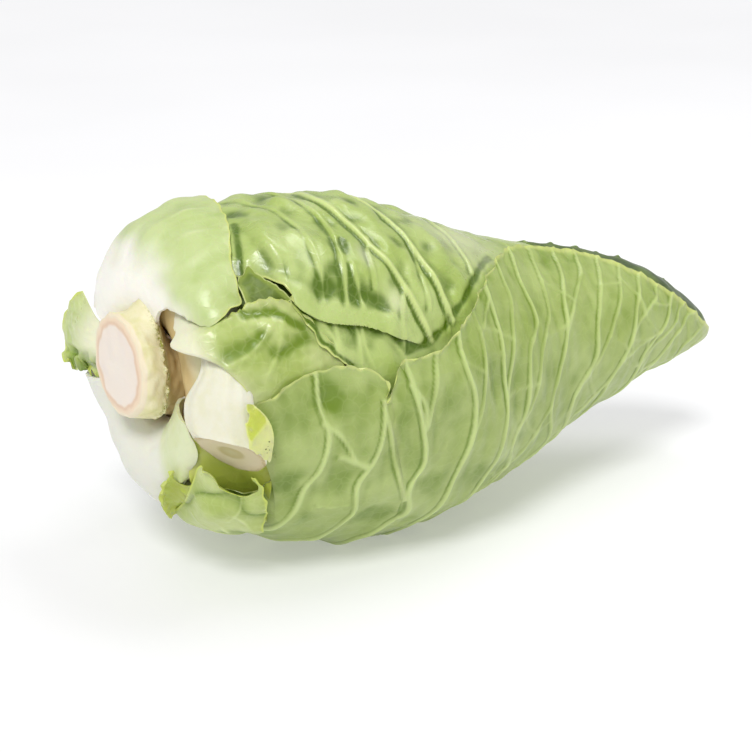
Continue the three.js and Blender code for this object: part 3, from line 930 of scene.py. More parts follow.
# Painted highlights, paler places where the sheen falls: (station, bearing), their spread, and how
# pale.
TOP_PAINTED_HIGHLIGHTS = [((147, 68), (22, 18), 0.55), ((91, 51), (4, 6), 0.45), ((97, 35), (4, 5), 0.5)]
top_shades = [(on_skin(places, count=30), np.full(30, width), 0.85) for places, width in TOP_SHADES]


def top_relief(grid):
    """A pleat towards us, with a trough above its fold, and blisters between thick veins."""
    station, bearing, near = (grid[key] for key in ("station", "bearing", "near"))
    points = head_point(station, bearing, 0 * station)
    ridge, shoulder = vein_field(points, top_veins, wide=4)
    groove, _ = vein_field(points + TOP_GROOVE_SIDE, top_veins, wide=2)
    groove = np.clip(groove - ridge, 0, 1)
    beside, _ = vein_field(points, top_shades, wide=2)
    reach = GIRTH * np.maximum(np.interp(station, stations, skin[:, 1]), 12)
    off = np.radians(bearing - fold_line(station)) * reach * 0.92
    here = smooth_step(station, 55, 61) * (1 - smooth_step(station, 90, 107))
    q = off / 1.5 + 1
    shift = -1.65 * FOLD_OVERHANG * here * q * np.exp(-q * q / 2)
    grid["bearing"] = bearing + np.degrees(shift / reach)
    step = FOLD_STEP * here * q / np.sqrt(1 + q * q) * np.exp(-np.abs(off) / 14)
    front = smooth_step(off, 0, 8) * (1 - smooth_step(bearing, 95, 120))
    pillow = (1 - shoulder) * (1.0 + 0.5 * waves(points, 14, 41)) * (0.4 + 0.9 * front)
    trough = here * np.exp(-((off - 7) / 3.6) ** 2)
    swell = here * np.exp(-((off - 19) / 9) ** 2)
    uneven = 0.9 * waves(points, 40, 42) + 0.5 * waves(points, 17, 43)
    under = smooth_step(station, 12, 45) * (1 - smooth_step(station, 235, 262))
    covered = 1 - 0.7 * smooth_step(station, 120, 155)
    soft = (pillow + 0.7 * uneven * np.clip(near / 6, 0.2, 1) + 1.4 * swell - 1.1 * trough)
    streaks = waves(points * (1, 0.3, 0.3), 7, 47)
    soft += 0.2 * streaks
    soft = soft * under * covered + step + 0.5 * np.exp(-near / 3)
    fine = ((0.7 + 0.5 * front) * ridge - (0.3 + 0.3 * front) * groove) * under
    fine += 0.07 * waves(points, 5, 44)
    middle = smooth_step(station, 62, 76) * (1 - smooth_step(station, 80, 96))
    # Painted shade in the pocket above the fold, darkest in its lower part.
    painted_pocket_shade = 0.85 * middle * np.exp(-((off - 11.5) / 6) ** 2) * (1 - 0.8 * ridge)
    hollow = np.clip(0.12 + 0.4 * waves(points, 15, 45) + 0.25 * streaks, 0, 1)
    hollow = hollow * (1 - shoulder) * 0.7
    # Painted shade: the pocket, the strips beside other leaves, the dark side of each vein and a
    # band under the fold's lip turn deep green; the rest is uneven tone.
    hollow = np.clip(hollow + painted_pocket_shade + beside + 0.8 * groove * front
                     + 0.6 * here * np.exp(-((off + 3) / 2) ** 2), 0, 1)
    pale = 1 - smooth_step(station, 16, 40)
    # Painted highlights: the pale mark also brightens the places where the sheen falls.
    for spot, spread, share in TOP_PAINTED_HIGHLIGHTS:
        off_along, off_round = station - spot[0], bearing - spot[1]
        pale = np.maximum(pale, share * np.exp(-(off_along / spread[0]) ** 2
                                               - (off_round / spread[1]) ** 2))
    fray(grid, near, 0.5, 46, length=6, depth=3)
    return soft - 0.5 * beside, fine, {
        "vein": np.clip(0.75 * ridge + 0.15 * shoulder, 0, 1) * under, "hollow": hollow,
        "pale": pale, "edge": edge_mark(near, 1.2)}


TOP_GREEN = leaf_material(
    "upper_leaf", blade=(166, 187, 94), deep=(86, 114, 14),
    light=(188, 205, 128), vein=(206, 220, 142), base=(220, 224, 186),
    edge=(206, 218, 128), gloss=(0.24, 0.4), coat=0.25)
grow_leaf("top_wrapper", TOP_LINES, (0.8, 0.9, 0.8), (385, 233), top_relief, TOP_GREEN,
          "wrapper_leaf_top", stretch=1.45)

# %% [markdown]
# ## The back wrapper leaf
#
# The darkest leaf covers the back. From the front only a dark green sliver of it shows along the
# top of the point.

# %% The back leaf
def back_leaf_veins():
    """A midrib along the back, with laterals up and down from it."""
    random = np.random.default_rng(17)
    rib = on_skin([(14, 196), (80, 186), (160, 168), (279, 130)], count=40)
    upward = [(0, -14), (-15, -4), (-30, 3), (-45, 7), (-62, 9), (-80, 8)]
    downward = [(0, -14), (12, -4), (24, 3), (36, 6), (48, 7), (60, 6)]
    routes = [(rib, np.linspace(5.5, 1.2, 40), 1.0)]
    for sway in (upward, downward):
        routes += vein_net(side_laterals(range(42, 276, 21), 180, sway, random), random)
    return routes


back_veins = back_leaf_veins()


def back_relief(grid):
    """Raised veins and soft blisters; deep green away from the base."""
    station, near = grid["station"], grid["near"]
    points = head_point(station, grid["bearing"], 0 * station)
    ridge, shoulder = vein_field(points, back_veins)
    fade = smooth_step(station, 18, 44) * (1 - smooth_step(station, 255, 284))
    soft = (0.9 * shoulder + 0.8 * waves(points, 42, 51) + 0.4 * waves(points, 19, 52)) * fade
    soft = soft * np.clip(near / 8, 0.2, 1) + 0.4 * np.exp(-near / 3)
    fine = 0.9 * ridge * fade + 0.1 * waves(points, 6, 53)
    hollow = np.clip(0.5 + 0.5 * waves(points, 22, 54), 0, 1) * (1 - shoulder)
    fray(grid, near, 0.4, 55, length=9, depth=4)
    pale = 1 - smooth_step(station, 14, 52)
    return soft, fine, {"vein": ridge * fade, "hollow": hollow, "pale": pale,
                        "edge": edge_mark(near, 1.0)}


DARK_GREEN = leaf_material(
    "dark_leaf", blade=(88, 107, 44), deep=(58, 80, 32), light=(98, 120, 60),
    vein=(146, 166, 100), base=(212, 220, 176), edge=(118, 142, 66))
BACK_LINES = [
    [(16, 160, -1.6), (40, 150, -0.6), (80, 141, -0.4), (130, 130, -2.4), (165, 118, -5.2),
     (195, 104, -5.8), (212, 86, -5.6), (232, 58, -4.0), (252, 36, -2.4), (283, 4, -1)],
    [(14, 196, -1.8), (80, 186, -0.6), (150, 168, -1.4), (175, 163, -2.8), (205, 157, -3.2),
     (245, 145, -2), (283, 130, -1.2)],
    [(16, 232, -3.6), (60, 232, -5.2), (130, 236, -5.2), (200, 238, -4), (283, 240, -2.4)],
]
grow_leaf("back_wrapper", BACK_LINES, (0.8, 0.9, 0.8), (261, 161), back_relief, DARK_GREEN,
          "wrapper_leaf_back")

# %% [markdown]
# ## The leaf bases round the stump
#
# The trimmed leaves left thick white bases that swell out round the stump and thin to a green
# blade. Each is a sheet from its root by the stump's neck, over its middle, to the cut edge.

# %% Two trimmed leaves
def base_relief(seed, pale_part, ribs, ragged):
    """Relief of a leaf base: fleshy ribs that fan out from the root, and a thin torn edge."""
    def relief(grid):
        points, station, bearing = grid["points"], grid["station"], grid["bearing"]
        ridge, shoulder = vein_field(points, ribs, wide=6)
        thin = smooth_step(station, 20, 45)
        soft = (0.5 * waves(points, 30, seed) + 0.35 * waves(points, 15, seed + 1)) * (
            0.5 + 0.9 * thin) + 0.7 * shoulder
        soft *= smooth_step(grid["near"], 0, 8)
        fine = 0.35 * ridge * thin + 0.06 * waves(points, 5, seed + 2)
        pale = pale_part(station + 1.5 * waves(points, 12, seed + 3), bearing)
        hollow = np.clip(0.3 + 0.5 * waves(points, 14, seed + 4), 0, 1) * thin * (1 - shoulder)
        margin = np.minimum(grid["far"], np.minimum(grid["head"], grid["foot"]) * 1.2)
        fray(grid, margin, ragged, seed + 5, length=7, depth=3)
        return soft, fine, {"vein": 0.6 * ridge * thin, "hollow": 0.6 * hollow, "pale": pale,
                            "edge": edge_mark(margin, 1.0) * thin}
    return relief


PALE_GREEN = leaf_material(
    "pale_leaf", blade=(186, 202, 130), deep=(160, 184, 92), light=(198, 212, 150),
    vein=(212, 222, 170), base=(250, 247, 236), edge=(204, 216, 110),
    gloss=(0.34, 0.48), flesh=0.25)


def upper_pale(station, bearing):
    """White up to a line that lies further out towards the top."""
    line = 15 + 0.09 * np.clip(bearing - 52, 0, 90)
    return 1 - smooth_step(station, line, line + 20)


def lower_pale(station, bearing):
    """White, but greener towards both the cut edge and the front margin."""
    return (1 - smooth_step(station, 27, 43)) * (1 - 0.95 * smooth_step(bearing, -64, -46)
                                                 * smooth_step(station, 1, 12))


upper_ribs = [(on_skin([(8, b), (28, b + 1), (52, b + lean), (60, b + 1.4 * lean)], 5, count=16),
               np.linspace(2.6, 1.2, 16), 0.9)
              for b, lean in ((64, 2), (78, -4), (92, -2), (106, 3), (120, 2), (136, 3))]
grow_leaf("upper_leaf_base", [
    [(4, 71, 2.4), (4, 95, 3.2), (4, 120, 3.4), (4, 152, 3.4)],
    [(17, 62, 4.4), (23, 86, 6.6), (26, 118, 8.6), (27, 152, 8.4)],
    [(22.5, 54, 3.6), (26, 45, 5.2), (32, 35, 6.4), (39, 40, 4.8), (43, 42, 2.6), (44.5, 50, 2.4),
     (46.5, 60, 2.4), (50, 67, 2.4), (60, 100, 2.8), (61, 120, 3), (47, 158, 5.6)]],
    (2.6, 4.2, 0.8), (221, 133), base_relief(61, upper_pale, upper_ribs, 0.35), PALE_GREEN,
    "trimmed_leaf_top")

WHITE_BASE = leaf_material(
    "white_leaf_base", blade=(200, 211, 134), deep=(178, 194, 100),
    light=(216, 222, 184), vein=(220, 224, 190), base=(226, 226, 212),
    edge=(210, 220, 140), gloss=(0.34, 0.48), flesh=0.28)
lower_ribs = [(on_skin([(8, b), (26, b + 1), (44, b + 2)], 5, count=12),
               np.linspace(2.6, 1.4, 12), 0.9) for b in (-40, -62, -84, -108, -132, -154)]
grow_leaf("under_leaf_base", [
    [(4, -12, 3.2), (4, -70, 3.2), (4, -110, 3.2), (4, -166, 3.4)],
    [(14, -13, 4.4), (21, -60, 7), (20, -105, 9), (18, -140, 7), (18, -166, 11.5)],
    [(20, -16, 4), (24.5, -24, 4), (25, -34, 3.6), (25, -50, 3.4), (28, -72, 2.6),
     (36, -92, 1.6), (42, -118, 2.2), (42, -172, 4)]],
    (2.6, 4.2, 0.8), (221, 117), base_relief(71, lower_pale, lower_ribs, 0.3), WHITE_BASE,
    "trimmed_leaf_under")

# %% [markdown]
# ## Torn remains
#
# Knives and handling left torn leaves round the base: one that flares out behind the stump with
# a frilled lower end, one curled up below the stalk, one pressed over the front with a deep
# green hollow of painted shade, a small flap, and a curled corner by the stalk. A dark green
# sheet of painted shade lies in the gap beside the flap.

# %% The torn leaves
TORN_GREEN = leaf_material(
    "torn_leaf", blade=(168, 186, 94), deep=(110, 136, 26), light=(200, 212, 140),
    vein=(214, 225, 160), base=(238, 238, 208), edge=(198, 214, 92),
    gloss=(0.26, 0.42), flesh=0.22)


HOLLOW_GREEN = leaf_material(
    "torn_hollow", blade=(194, 206, 84), deep=(172, 186, 60), light=(196, 206, 104),
    vein=(196, 208, 120), base=(206, 214, 140), edge=(190, 204, 90),
    gloss=(0.3, 0.45), flesh=0.22)


def flared_relief(grid):
    """Frills at the lower end, which is also the greenest."""
    points = grid["points"]
    low = smooth_step(grid["u"], 0.55, 0.95) * smooth_step(grid["v"], 0.2, 0.9)
    soft = 0.4 * waves(points, 18, 81) * grid["v"] + 1.8 * low * waves(points, 7, 82)
    fray(grid, grid["foot"], 2.0, 83, length=6, depth=4)
    fray(grid, grid["far"], 0.4, 84, length=8, depth=3)
    margin = np.minimum(grid["far"], grid["foot"])
    frill = smooth_step(-grid["foot"], -12, -2)
    ribs = np.clip(waves(points, 4.5, 85), 0, 1) * 0.4
    return soft, 0.15 * waves(points, 3.5, 86), {
        "vein": ribs * (1 - frill), "hollow": frill, "pale": (1 - 0.7 * frill) * (
            1 - smooth_step(grid["v"], 0.2, 1.1)),
        "edge": edge_mark(margin, 1.2)}


grow_leaf("flared_leaf", [
    [(9, 156, 3.4), (9, 174, 3.4), (9, 190, 3.4)],
    [(19, 154, 8), (20, 172, 10.4), (21, 191, 9)],
    [(26, 150, 12.5), (30, 168, 18.5), (30, 181, 19), (27, 192, 16.5)]],
    (1.6, 1.4, 0.7), (121, 89), flared_relief, TORN_GREEN, "flared_leaf_back")


def under_relief(grid):
    """Crumpled: sharp creases with deep green painted shade in them, and ragged margins."""
    points = grid["points"]
    folds = np.abs(waves(points, 24, 91))
    soft = 1.2 * folds + 0.3 * waves(points, 11, 92)
    ridge, shoulder = vein_field(points, under_veins, wide=4)
    fray(grid, grid["near"], 0.35, 93, length=7, depth=3)
    fray(grid, grid["foot"], 0.5, 94, length=6, depth=3)
    margin = np.minimum(grid["near"], np.minimum(grid["head"], grid["foot"]))
    # Painted shade: deep green in the creases.
    hollow = np.clip(1 - folds * 1.6, 0, 1) * 0.6
    return soft + 0.5 * shoulder, 0.4 * ridge, {
        "vein": 0.7 * ridge, "hollow": hollow, "edge": edge_mark(margin, 1.0)}


def curl_relief(grid):
    """Ragged along its rolled margin, and deeper green away from it."""
    points, near = grid["points"], grid["near"]
    fray(grid, near, 0.6, 96, length=5, depth=3)
    return 0.5 * waves(points, 9, 95), 0.08 * waves(points, 3, 97), {
        "hollow": smooth_step(near, 1, 5), "edge": edge_mark(near, 1.0)}


under_veins = [(on_skin(path, 6, count=12), np.linspace(1.1, 0.6, 12), 0.9) for path in (
    [(50, -52), (42, -44), (36, -40), (33, -33)], [(44, -60), (36, -50), (29, -46)],
    [(50, -62), (40, -62), (32, -60)], [(40, -48), (41, -38), (40, -33)])]
grow_leaf("torn_under", [
    [(27, -28, 6), (31, -24, 7.4), (34.5, -29, 6.8), (41, -31.5, 5.7), (44, -28, 5.6),
     (41, -22.5, 5.6)],
    [(27, -45, 6), (34, -42, 7.6), (42, -38, 6.4), (47.5, -32, 5.4)],
    [(31, -78, 5), (38, -70, 6.4), (46, -65, 5), (52, -56, 3.6)]],
    (0.7, 0.8, 0.7), (181, 133), under_relief, TORN_GREEN, "torn_leaf_under",
    roll=(lambda u: 2.6 * smooth_step(u, 0.0, 0.1) * (1 - smooth_step(u, 0.5, 0.7)), 1.1, 1))
grow_leaf("torn_under_curl", [
    [(22, -38, 9), (22, -50, 10.2), (25, -66, 10), (32, -79, 8)],
    [(24, -50, 7.2), (26, -66, 6.9), (34, -82, 6)], [(27, -43, 5.6), (30, -62, 5.3), (35, -78, 5)]],
    (0.7, 0.7, 0.7), (121, 81), curl_relief, HOLLOW_GREEN, "torn_leaf_under",
    roll=(lambda u: 2.5 + 0 * u, 1.0, 1))


front_torn_veins = [(on_skin(path, count=12), np.linspace(1.3, 0.8, 12), 0.7) for path in (
    [(54, 32), (50, 22), (46, 15)], [(34, 18), (42, 23), (50, 31)], [(28, 31), (38, 37)])]
# Long hollows of the torn leaf, dipped and coloured deep green as painted shade: places and width.
SHADED_TORN_HOLLOWS = [([(43, 38), (52, 36), (60, 30)], 2.0), ([(50, 22), (60, 26)], 3.4),
                ([(36, 23), (46, 28)], 2.8)]
shaded_torn_hollows = [(on_skin(places, count=12), np.full(12, width), 0.85)
                for places, width in SHADED_TORN_HOLLOWS]


def torn_relief(grid):
    """Long hollows, painted with shade, between raised ribs, and a raised, ragged upper margin."""
    station = grid["station"]
    points = head_point(station, grid["bearing"], 0 * station)
    ridge, shoulder = vein_field(points, front_torn_veins, wide=4)
    deep, _ = vein_field(points + 0.3 * waves(points, 11, 104)[..., None], shaded_torn_hollows, wide=2)
    soft = 0.6 * waves(points, 16, 101) + 0.8 * shoulder - 0.9 * deep
    soft += 0.8 * np.exp(-grid["far"] / 3)
    fray(grid, grid["far"], 0.6, 102, length=6, depth=3)
    margin = np.minimum(grid["near"], grid["far"])
    pale = (1 - smooth_step(station, 22, 36)) + 0.35 * np.exp(-grid["near"] / 5)
    return soft, 0.5 * ridge + 0.07 * waves(points, 4, 103), {
        "vein": 0.4 * ridge, "hollow": np.clip(0.75 * deep + 0.15, 0, 1),
        "pale": np.clip(pale, 0, 0.8), "edge": 0.7 * edge_mark(margin, 0.9)}


grow_leaf("torn_front", [
    [(21, 40, 6.6), (19, 34, 8.6), (22, 27, 9.2), (30, 20, 9.4), (38, 12, 7.2), (42, 3, 2.6),
     (53, 1, -2.4), (62, 0, -3)],
    [(21, 43, 5), (32, 32, 6.3), (42, 24, 4.4), (52, 18, 0.6), (66, 8, -2.2)],
    [(22, 56, 0.9), (28, 47, 1.6), (35, 39, 1.6), (48, 41, 1), (58, 39, -0.8), (67, 27, -2.2),
     (74, 13, -2.4)]],
    (0.9, 1, 0.8), (201, 109), torn_relief, TORN_GREEN, "torn_leaf_front",
    roll=(lambda u: 4 * (1 - smooth_step(u, 0.4, 0.6)), 2.2, -1))


# Painted shade: a dark green for the flap and for the sheet beside it, both in the shaded gap.
SHADED_GREEN = leaf_material(
    "torn_shaded", blade=(132, 152, 54), deep=(98, 120, 24), light=(146, 164, 70),
    vein=(176, 192, 110), base=(190, 202, 130), edge=(206, 218, 140),
    gloss=(0.5, 0.65), flesh=0.12, coat=0.0)


def flap_relief(grid):
    """A slightly hollow flap with a thin raised rim."""
    margin = np.minimum(grid["near"], np.minimum(grid["head"], grid["foot"]))
    soft = 0.8 * np.exp(-margin / 1.6) + 0.3 * waves(grid["points"], 9, 111)
    fray(grid, grid["near"], 0.4, 112, length=5, depth=2)
    return soft, 0.05 * waves(grid["points"], 3, 113), {
        "hollow": smooth_step(margin, 0.5, 3), "edge": edge_mark(margin, 0.7)}


def flap_line(low):
    """A line of the flap, from its rim (low = 0) to its foot (low = 1).

    The rim is a lopsided tent, highest at a third of its length, and its lift is a parabola.
    Both flatten towards the foot.
    """
    t, high = np.linspace(0, 1, 10), 1 - low
    tent = np.interp(t, (0, 1 / 3, 1), (9, 13.5, 0))
    return np.stack([44.5 + 15 * t - 1.5 * low * t, 41 - 2 * t + high * tent,
                     0.6 - 1.1 * low + 4.4 * high * t * (1 - t)], -1)


grow_leaf("torn_flap_leaf", [flap_line(0), flap_line(0.5), flap_line(1)],
    (0.7, 0.7, 0.7), (101, 61), flap_relief, SHADED_GREEN, "torn_flap")
# Painted shade: a dark green sheet, deep coloured all over, laid under the torn leaf and the top
# leaf so that the gap beside the flap looks shaded.
grow_leaf("painted_shade_sheet", [
    [(43, 51, -3.2), (54, 50, -3.2), (66, 46, -3.6)],
    [(42, 43, -3.2), (54, 42, -3.4), (70, 34, -3.8)],
    [(42, 34, -3), (56, 30, -3.6), (76, 14, -4)]],
    (0.6, 0.6, 0.6), (61, 41), lambda grid: (0, 0.1 * waves(grid["points"], 6, 115), {
        "hollow": np.ones_like(grid["u"])}), SHADED_GREEN, "torn_flap")


CORNER_GREEN = leaf_material(
    "torn_corner", blade=(180, 194, 60), deep=(80, 92, 24), light=(192, 204, 84),
    vein=(208, 216, 120), base=(214, 220, 150), edge=(218, 226, 140),
    gloss=(0.26, 0.42), flesh=0.3)


def hollow_relief(grid):
    """Softly folded, with a few paler spots."""
    points = grid["points"]
    return 1.2 * waves(points, 18, 125), 0.05 * waves(points, 4, 126), {
        "vein": 0.5 * np.clip(waves(points, 9, 127) - 0.9, 0, 1)}


# Dark spots of the corner: station, bearing and radius in mm.
CORNER_SPOTS = [(43.6, -8, 0.6), (43, -5.6, 0.35), (44.4, -7, 0.3), (44.2, -9.4, 0.35),
                (44.8, -5.4, 0.3), (43, -7.4, 0.25), (45, -8.4, 0.25)]


def corner_relief(grid):
    """A dog-eared, yellowed corner: two facets with a crease between, and small dark spots."""
    points, u, v = grid["points"], grid["u"], grid["v"]
    fray(grid, grid["near"], 0.4, 122, length=5, depth=2)
    lower = smooth_step(u + 0.25 * v, 0.52, 0.62)
    crease = np.exp(-((u + 0.25 * v - 0.57) / 0.05) ** 2)
    spots = np.zeros_like(u)
    for station, bearing, radius in CORNER_SPOTS:
        middle = head_point(np.array(station), np.array(bearing), 10.0)
        spots = np.maximum(spots, np.linalg.norm((points - middle) * [1, 0.4, 1], axis=-1) < radius)
    return 0.3 * waves(points, 8, 121) + 0.4 * crease, 0.1 * waves(points, 2.5, 123), {
        "hollow": spots, "pale": 0.75 * lower * (1 - spots),
        "edge": np.clip(edge_mark(np.minimum(grid["near"], grid["far"]), 0.8) + 0.7 * crease, 0, 1)
        * (1 - spots)}


def corner_line(side):
    """A line of the corner, from its left rim (side = -1) to its right rim (side = 1).

    It is a strip down along the stalk that widens by a sine and stands up at its left rim.
    """
    t = np.linspace(0, 1, 7)
    wide = np.sin(np.pi * t)
    return np.stack([40 + 5.5 * t + side * (0.8 * (1 - t) + 2.6 * wide),
                     5.5 - 18 * t + 2 * side * wide,
                     8.3 + 1.3 * t - 1.3 * side * (1 - t) + (2.5 - 2 * side) * wide], -1)


grow_leaf("torn_corner", [corner_line(-1), corner_line(0), corner_line(1)],
    (0.6, 0.6, 0.6), (121, 81), corner_relief, CORNER_GREEN, "torn_leaf_front")

# The hollow side of the torn leaf below the stalk, in the shade of what stands round it.
grow_leaf("under_hollow", [
    [(20, -16, 2.6), (22, -30, 3), (25, -42, 4), (30, -54, 4.6)],
    [(33, -14, -0.4), (35, -28, -0.2), (38, -40, 0.6), (42, -54, 1.4)],
    [(46, -12, 0.6), (48, -26, 1.4), (50, -40, 1.6), (54, -54, 1.6)]],
    (0.7, 0.7, 0.7), (101, 61), hollow_relief, HOLLOW_GREEN, "torn_leaf_under")

# %% [markdown]
# ## The stump
#
# The cut stump shows the core's pale pith inside a tan ring, a flank with the scars of trimmed
# leaves, and a darker neck behind it, tan of its own with painted shade where it lies recessed.
# Rings of points round the axis are the plain way to make it, because every part of it goes round
# the core. The face is a few more rings that shrink to the middle.

# %% Bodies made of rings
def ring_piece(name, rings, marks, material, slot, crease=40):
    """A closed body from rings of points in mm, closed at both ends by one point."""
    count, sides = rings.shape[:2]
    ends = np.stack([rings[0].mean(0), rings[-1].mean(0)])
    k = np.arange(sides)
    beside = (k + 1) % sides
    base = (np.arange(count - 1) * sides)[:, None]
    quads = np.stack([base + k, base + beside, base + sides + beside, base + sides + k], -1)
    first, last = count * sides, count * sides + 1
    top = (count - 1) * sides
    faces = quads.reshape(-1, 4).tolist()
    faces += np.stack([np.full(sides, first), beside, k], -1).tolist()
    faces += np.stack([np.full(sides, last), top + k, top + beside], -1).tolist()
    middle = rings.reshape(-1, 3).mean(0)
    side = rings[count // 2]
    normal = np.cross(side[1] - side[0], rings[count // 2 + 1][0] - side[0])
    if np.dot(normal, side[0] - side.mean(0)) < 0:
        faces = [face[::-1] for face in faces]
    points = np.vstack([rings.reshape(-1, 3), ends])
    values = {label: np.concatenate([mark.ravel(), [mark[0].mean(), mark[-1].mean()]])
              for label, mark in marks.items()}
    piece = make_mesh(name, to_frame(points), faces, values, crease)
    dress(piece, material)
    print(name, len(faces), "faces, middle", (middle + SHIFT).round().tolist())
    return piece


# %% Stump colours
def cut_material(name, stops, skin, scuffed, neck, leafy=(214, 219, 172), flesh=0.3):
    """Cut flesh: colours by ring from the middle of the cut, then the skin of the flank.

    The colours are screen colours, 0 to 255.
    """
    stops = [(place, shade(*colour)) for place, colour in stops]
    skin = [shade(*colour) for colour in skin]
    scuffed, neck, leafy = (shade(*colour) for colour in (scuffed, neck, leafy))
    nodes = Nodes(name)
    ring = nodes.maths("ADD", nodes.mark("ring"),
                       nodes.maths("MULTIPLY", nodes.noise(260, 3), 0.06))
    colour = stops[0][1]
    for (low, _), (high, tone) in zip(stops[:-1], stops[1:]):
        colour = nodes.mix(nodes.ramp(ring, low + 0.03, high + 0.03), colour, tone)
    grain = nodes.ramp(nodes.noise(170, 4, 0.6), 0.35, 0.7)
    flank = nodes.mix(grain, skin[0], skin[1])
    colour = nodes.mix(nodes.ramp(nodes.mark("flank"), 0.3, 0.7), colour, flank)
    colour = nodes.mix(nodes.mark("neck"), colour, neck)
    colour = nodes.mix(nodes.mark("leafy"), colour, leafy)
    specks = nodes.ramp(nodes.noise(900, 2, 0.7), 0.45, 0.62)
    colour = nodes.mix(nodes.maths("MULTIPLY", nodes.mark("rough"), specks), colour, scuffed)
    nodes.link(colour, nodes.shader.inputs["Base Color"])
    nodes.bump(nodes.maths("ADD", nodes.noise(350, 4, 0.6),
                           nodes.maths("MULTIPLY", nodes.noise(1500, 2, 0.6), 0.4)), 0.35, 0.5)
    nodes.shader.inputs["Subsurface Radius"].default_value = (1.0, 0.8, 0.5)
    return nodes.finish(roughness=0.5, subsurface_weight=flesh, subsurface_scale=3 * MM)


# The neck colour is partly the neck's own tan and partly painted shade for the recess behind the
# flank.
STUMP_FLESH = cut_material(
    "stump_flesh",
    stops=[(0.0, (238, 228, 215)), (0.76, (238, 226, 213)), (0.84, (226, 198, 170)),
           (0.92, (236, 214, 186)), (1.0, (236, 224, 196))],
    skin=((238, 231, 194), (228, 223, 168)), scuffed=(160, 164, 60),
    neck=(208, 184, 130))

# %% The stump's shape
# Places along the axis of rings of the flank and neck: half depth, half height, centre.
STUMP_RINGS = [
    (-17, 17.4, 17.4, 7), (-16, 18.4, 18, 6.8), (-12, 18.2, 17.6, 5.6), (-8.6, 17.2, 16.6, 4),
    (-7.2, 15.2, 14.8, 2.8), (-3, 14, 13.6, 0.8), (1, 13.6, 13.4, 0),
]
FACE_PLACE, FACE_RADIUS, FACE_CENTRE = -17.5, 17.4, 7.0  # of the cut face before it leans
CUT_LEAN = 0.03  # mm along +X for each mm towards the front
CUT_SHIFT = -1.3  # mm along X for the whole face
LEDGE_PLACE, LEDGE_WIDTH = -8.6, 1.2  # the rough ledge where the flank meets the neck
# Ridges left by trimmed leaves: bearing, its spread, height, place along the axis, its spread.
LEAF_SCARS = [
    (83, 21, 15, -7.4, 4.4), (58, 7, 1.2, -12, 6), (36, 8, 1.5, -12, 6), (10, 8, 1.2, -12, 6),
    (-35, 15, 1.4, -12, 6), (-150, 20, 2, -10, 6), (150, 12, 2.2, -10, 5),
]


def stump_body():
    """Rings of the stump: a leaning face, a flank with scars, the neck and the leaves' plate.

    The plate is where all leaves join the core. It follows the skin from the neck out to station
    37, and turns back inside.
    """
    sides, face = 160, 40
    bearing = np.linspace(0, 360, sides, endpoint=False)
    turn = np.radians(bearing)
    flank = smooth_curve(STUMP_RINGS, 90)
    face_share = np.linspace(0.03, 0.985, face)
    along = np.concatenate([FACE_PLACE + 0.5 * face_share**6, flank[:, 0]])
    depth = np.concatenate([FACE_RADIUS * face_share, flank[:, 1]])
    height = np.concatenate([FACE_RADIUS * face_share, flank[:, 2]])
    centre = np.concatenate([np.full(face, FACE_CENTRE), flank[:, 3]])
    swell = np.zeros((len(along), sides))
    for middle, spread, rise, place, length in LEAF_SCARS:
        off = np.abs((bearing - middle + 540) % 360 - 180)
        swell += rise * np.exp(-(off / spread) ** 1.15) * np.exp(
            -((along[:, None] - place) / length) ** 2)
    on_flank = (np.arange(len(along)) >= face)[:, None]
    swell *= on_flank * np.clip((along[:, None] + 17) / 3, 0, 1)
    ledge = np.exp(-((along[:, None] - LEDGE_PLACE) / LEDGE_WIDTH) ** 2) * on_flank
    rings = np.stack([
        along[:, None] + 0 * turn,
        -(depth[:, None] + swell) * np.cos(turn),
        centre[:, None] + (height[:, None] + swell) * np.sin(turn)], -1)
    uneven = 0.25 * waves(rings, 5, 21) + 0.6 * ledge * waves(rings, 2.4, 22)
    rings[..., 1] -= uneven * np.cos(turn)
    rings[..., 2] += uneven * np.sin(turn)
    rings[:face, :, 0] += 0.15 * waves(rings[:face], 7, 23)
    lean = CUT_SHIFT - CUT_LEAN * rings[..., 1]
    rings[..., 0] += lean * np.clip((-7 - along[:, None]) / 10, 0, 1)
    out, back = np.linspace(4.5, 37, 50), np.linspace(36, 14, 14)
    plate_station = np.append(out, back)
    plate_lift = np.append(np.interp(out, [4, 10, 24, 37], [-1.2, 1.4, 1, -2.8]),
                           np.linspace(-5, -6.4, len(back)))
    plate = head_point(*np.broadcast_arrays(plate_station[:, None], bearing,
                                            plate_lift[:, None]))
    plate += 0.3 * waves(plate, 9, 24)[..., None] * np.array([1, 0, 0])
    rings = np.concatenate([rings, plate])
    more = np.zeros((len(plate), sides))
    full = np.concatenate([face_share, np.full(len(rings) - face, 1.0)])[:, None] + 0 * turn
    marks = {"ring": full,
             "flank": np.concatenate([np.clip((along[:, None] + 16.6) / 1.5, 0, 1)
                                      * on_flank + 0 * turn, more + 1]),
             "rough": np.concatenate([ledge * np.clip(np.cos(turn - 0.3) + 0.5, 0, 1), more]),
             "neck": np.concatenate([smooth_step(along[:, None], -7.6, -5.6) * on_flank
                                     + 0 * turn,
                                     more + 1 - smooth_step(plate_station[:, None], 17, 26)]),
             "leafy": np.concatenate([0 * swell,
                                      more + smooth_step(plate_station[:, None], 18, 34)])}
    return rings, marks


stump = ring_piece("stump_body", *stump_body(), STUMP_FLESH, "stump_pith")
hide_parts("stump")

# %% [markdown]
# ## The cut stalk
#
# One thick leaf stalk was cut off short in front. It is an oval rod along a line on the skin.
# Its end was cut at a slant, and the cut has dried to a hollow, greyish pink oval.

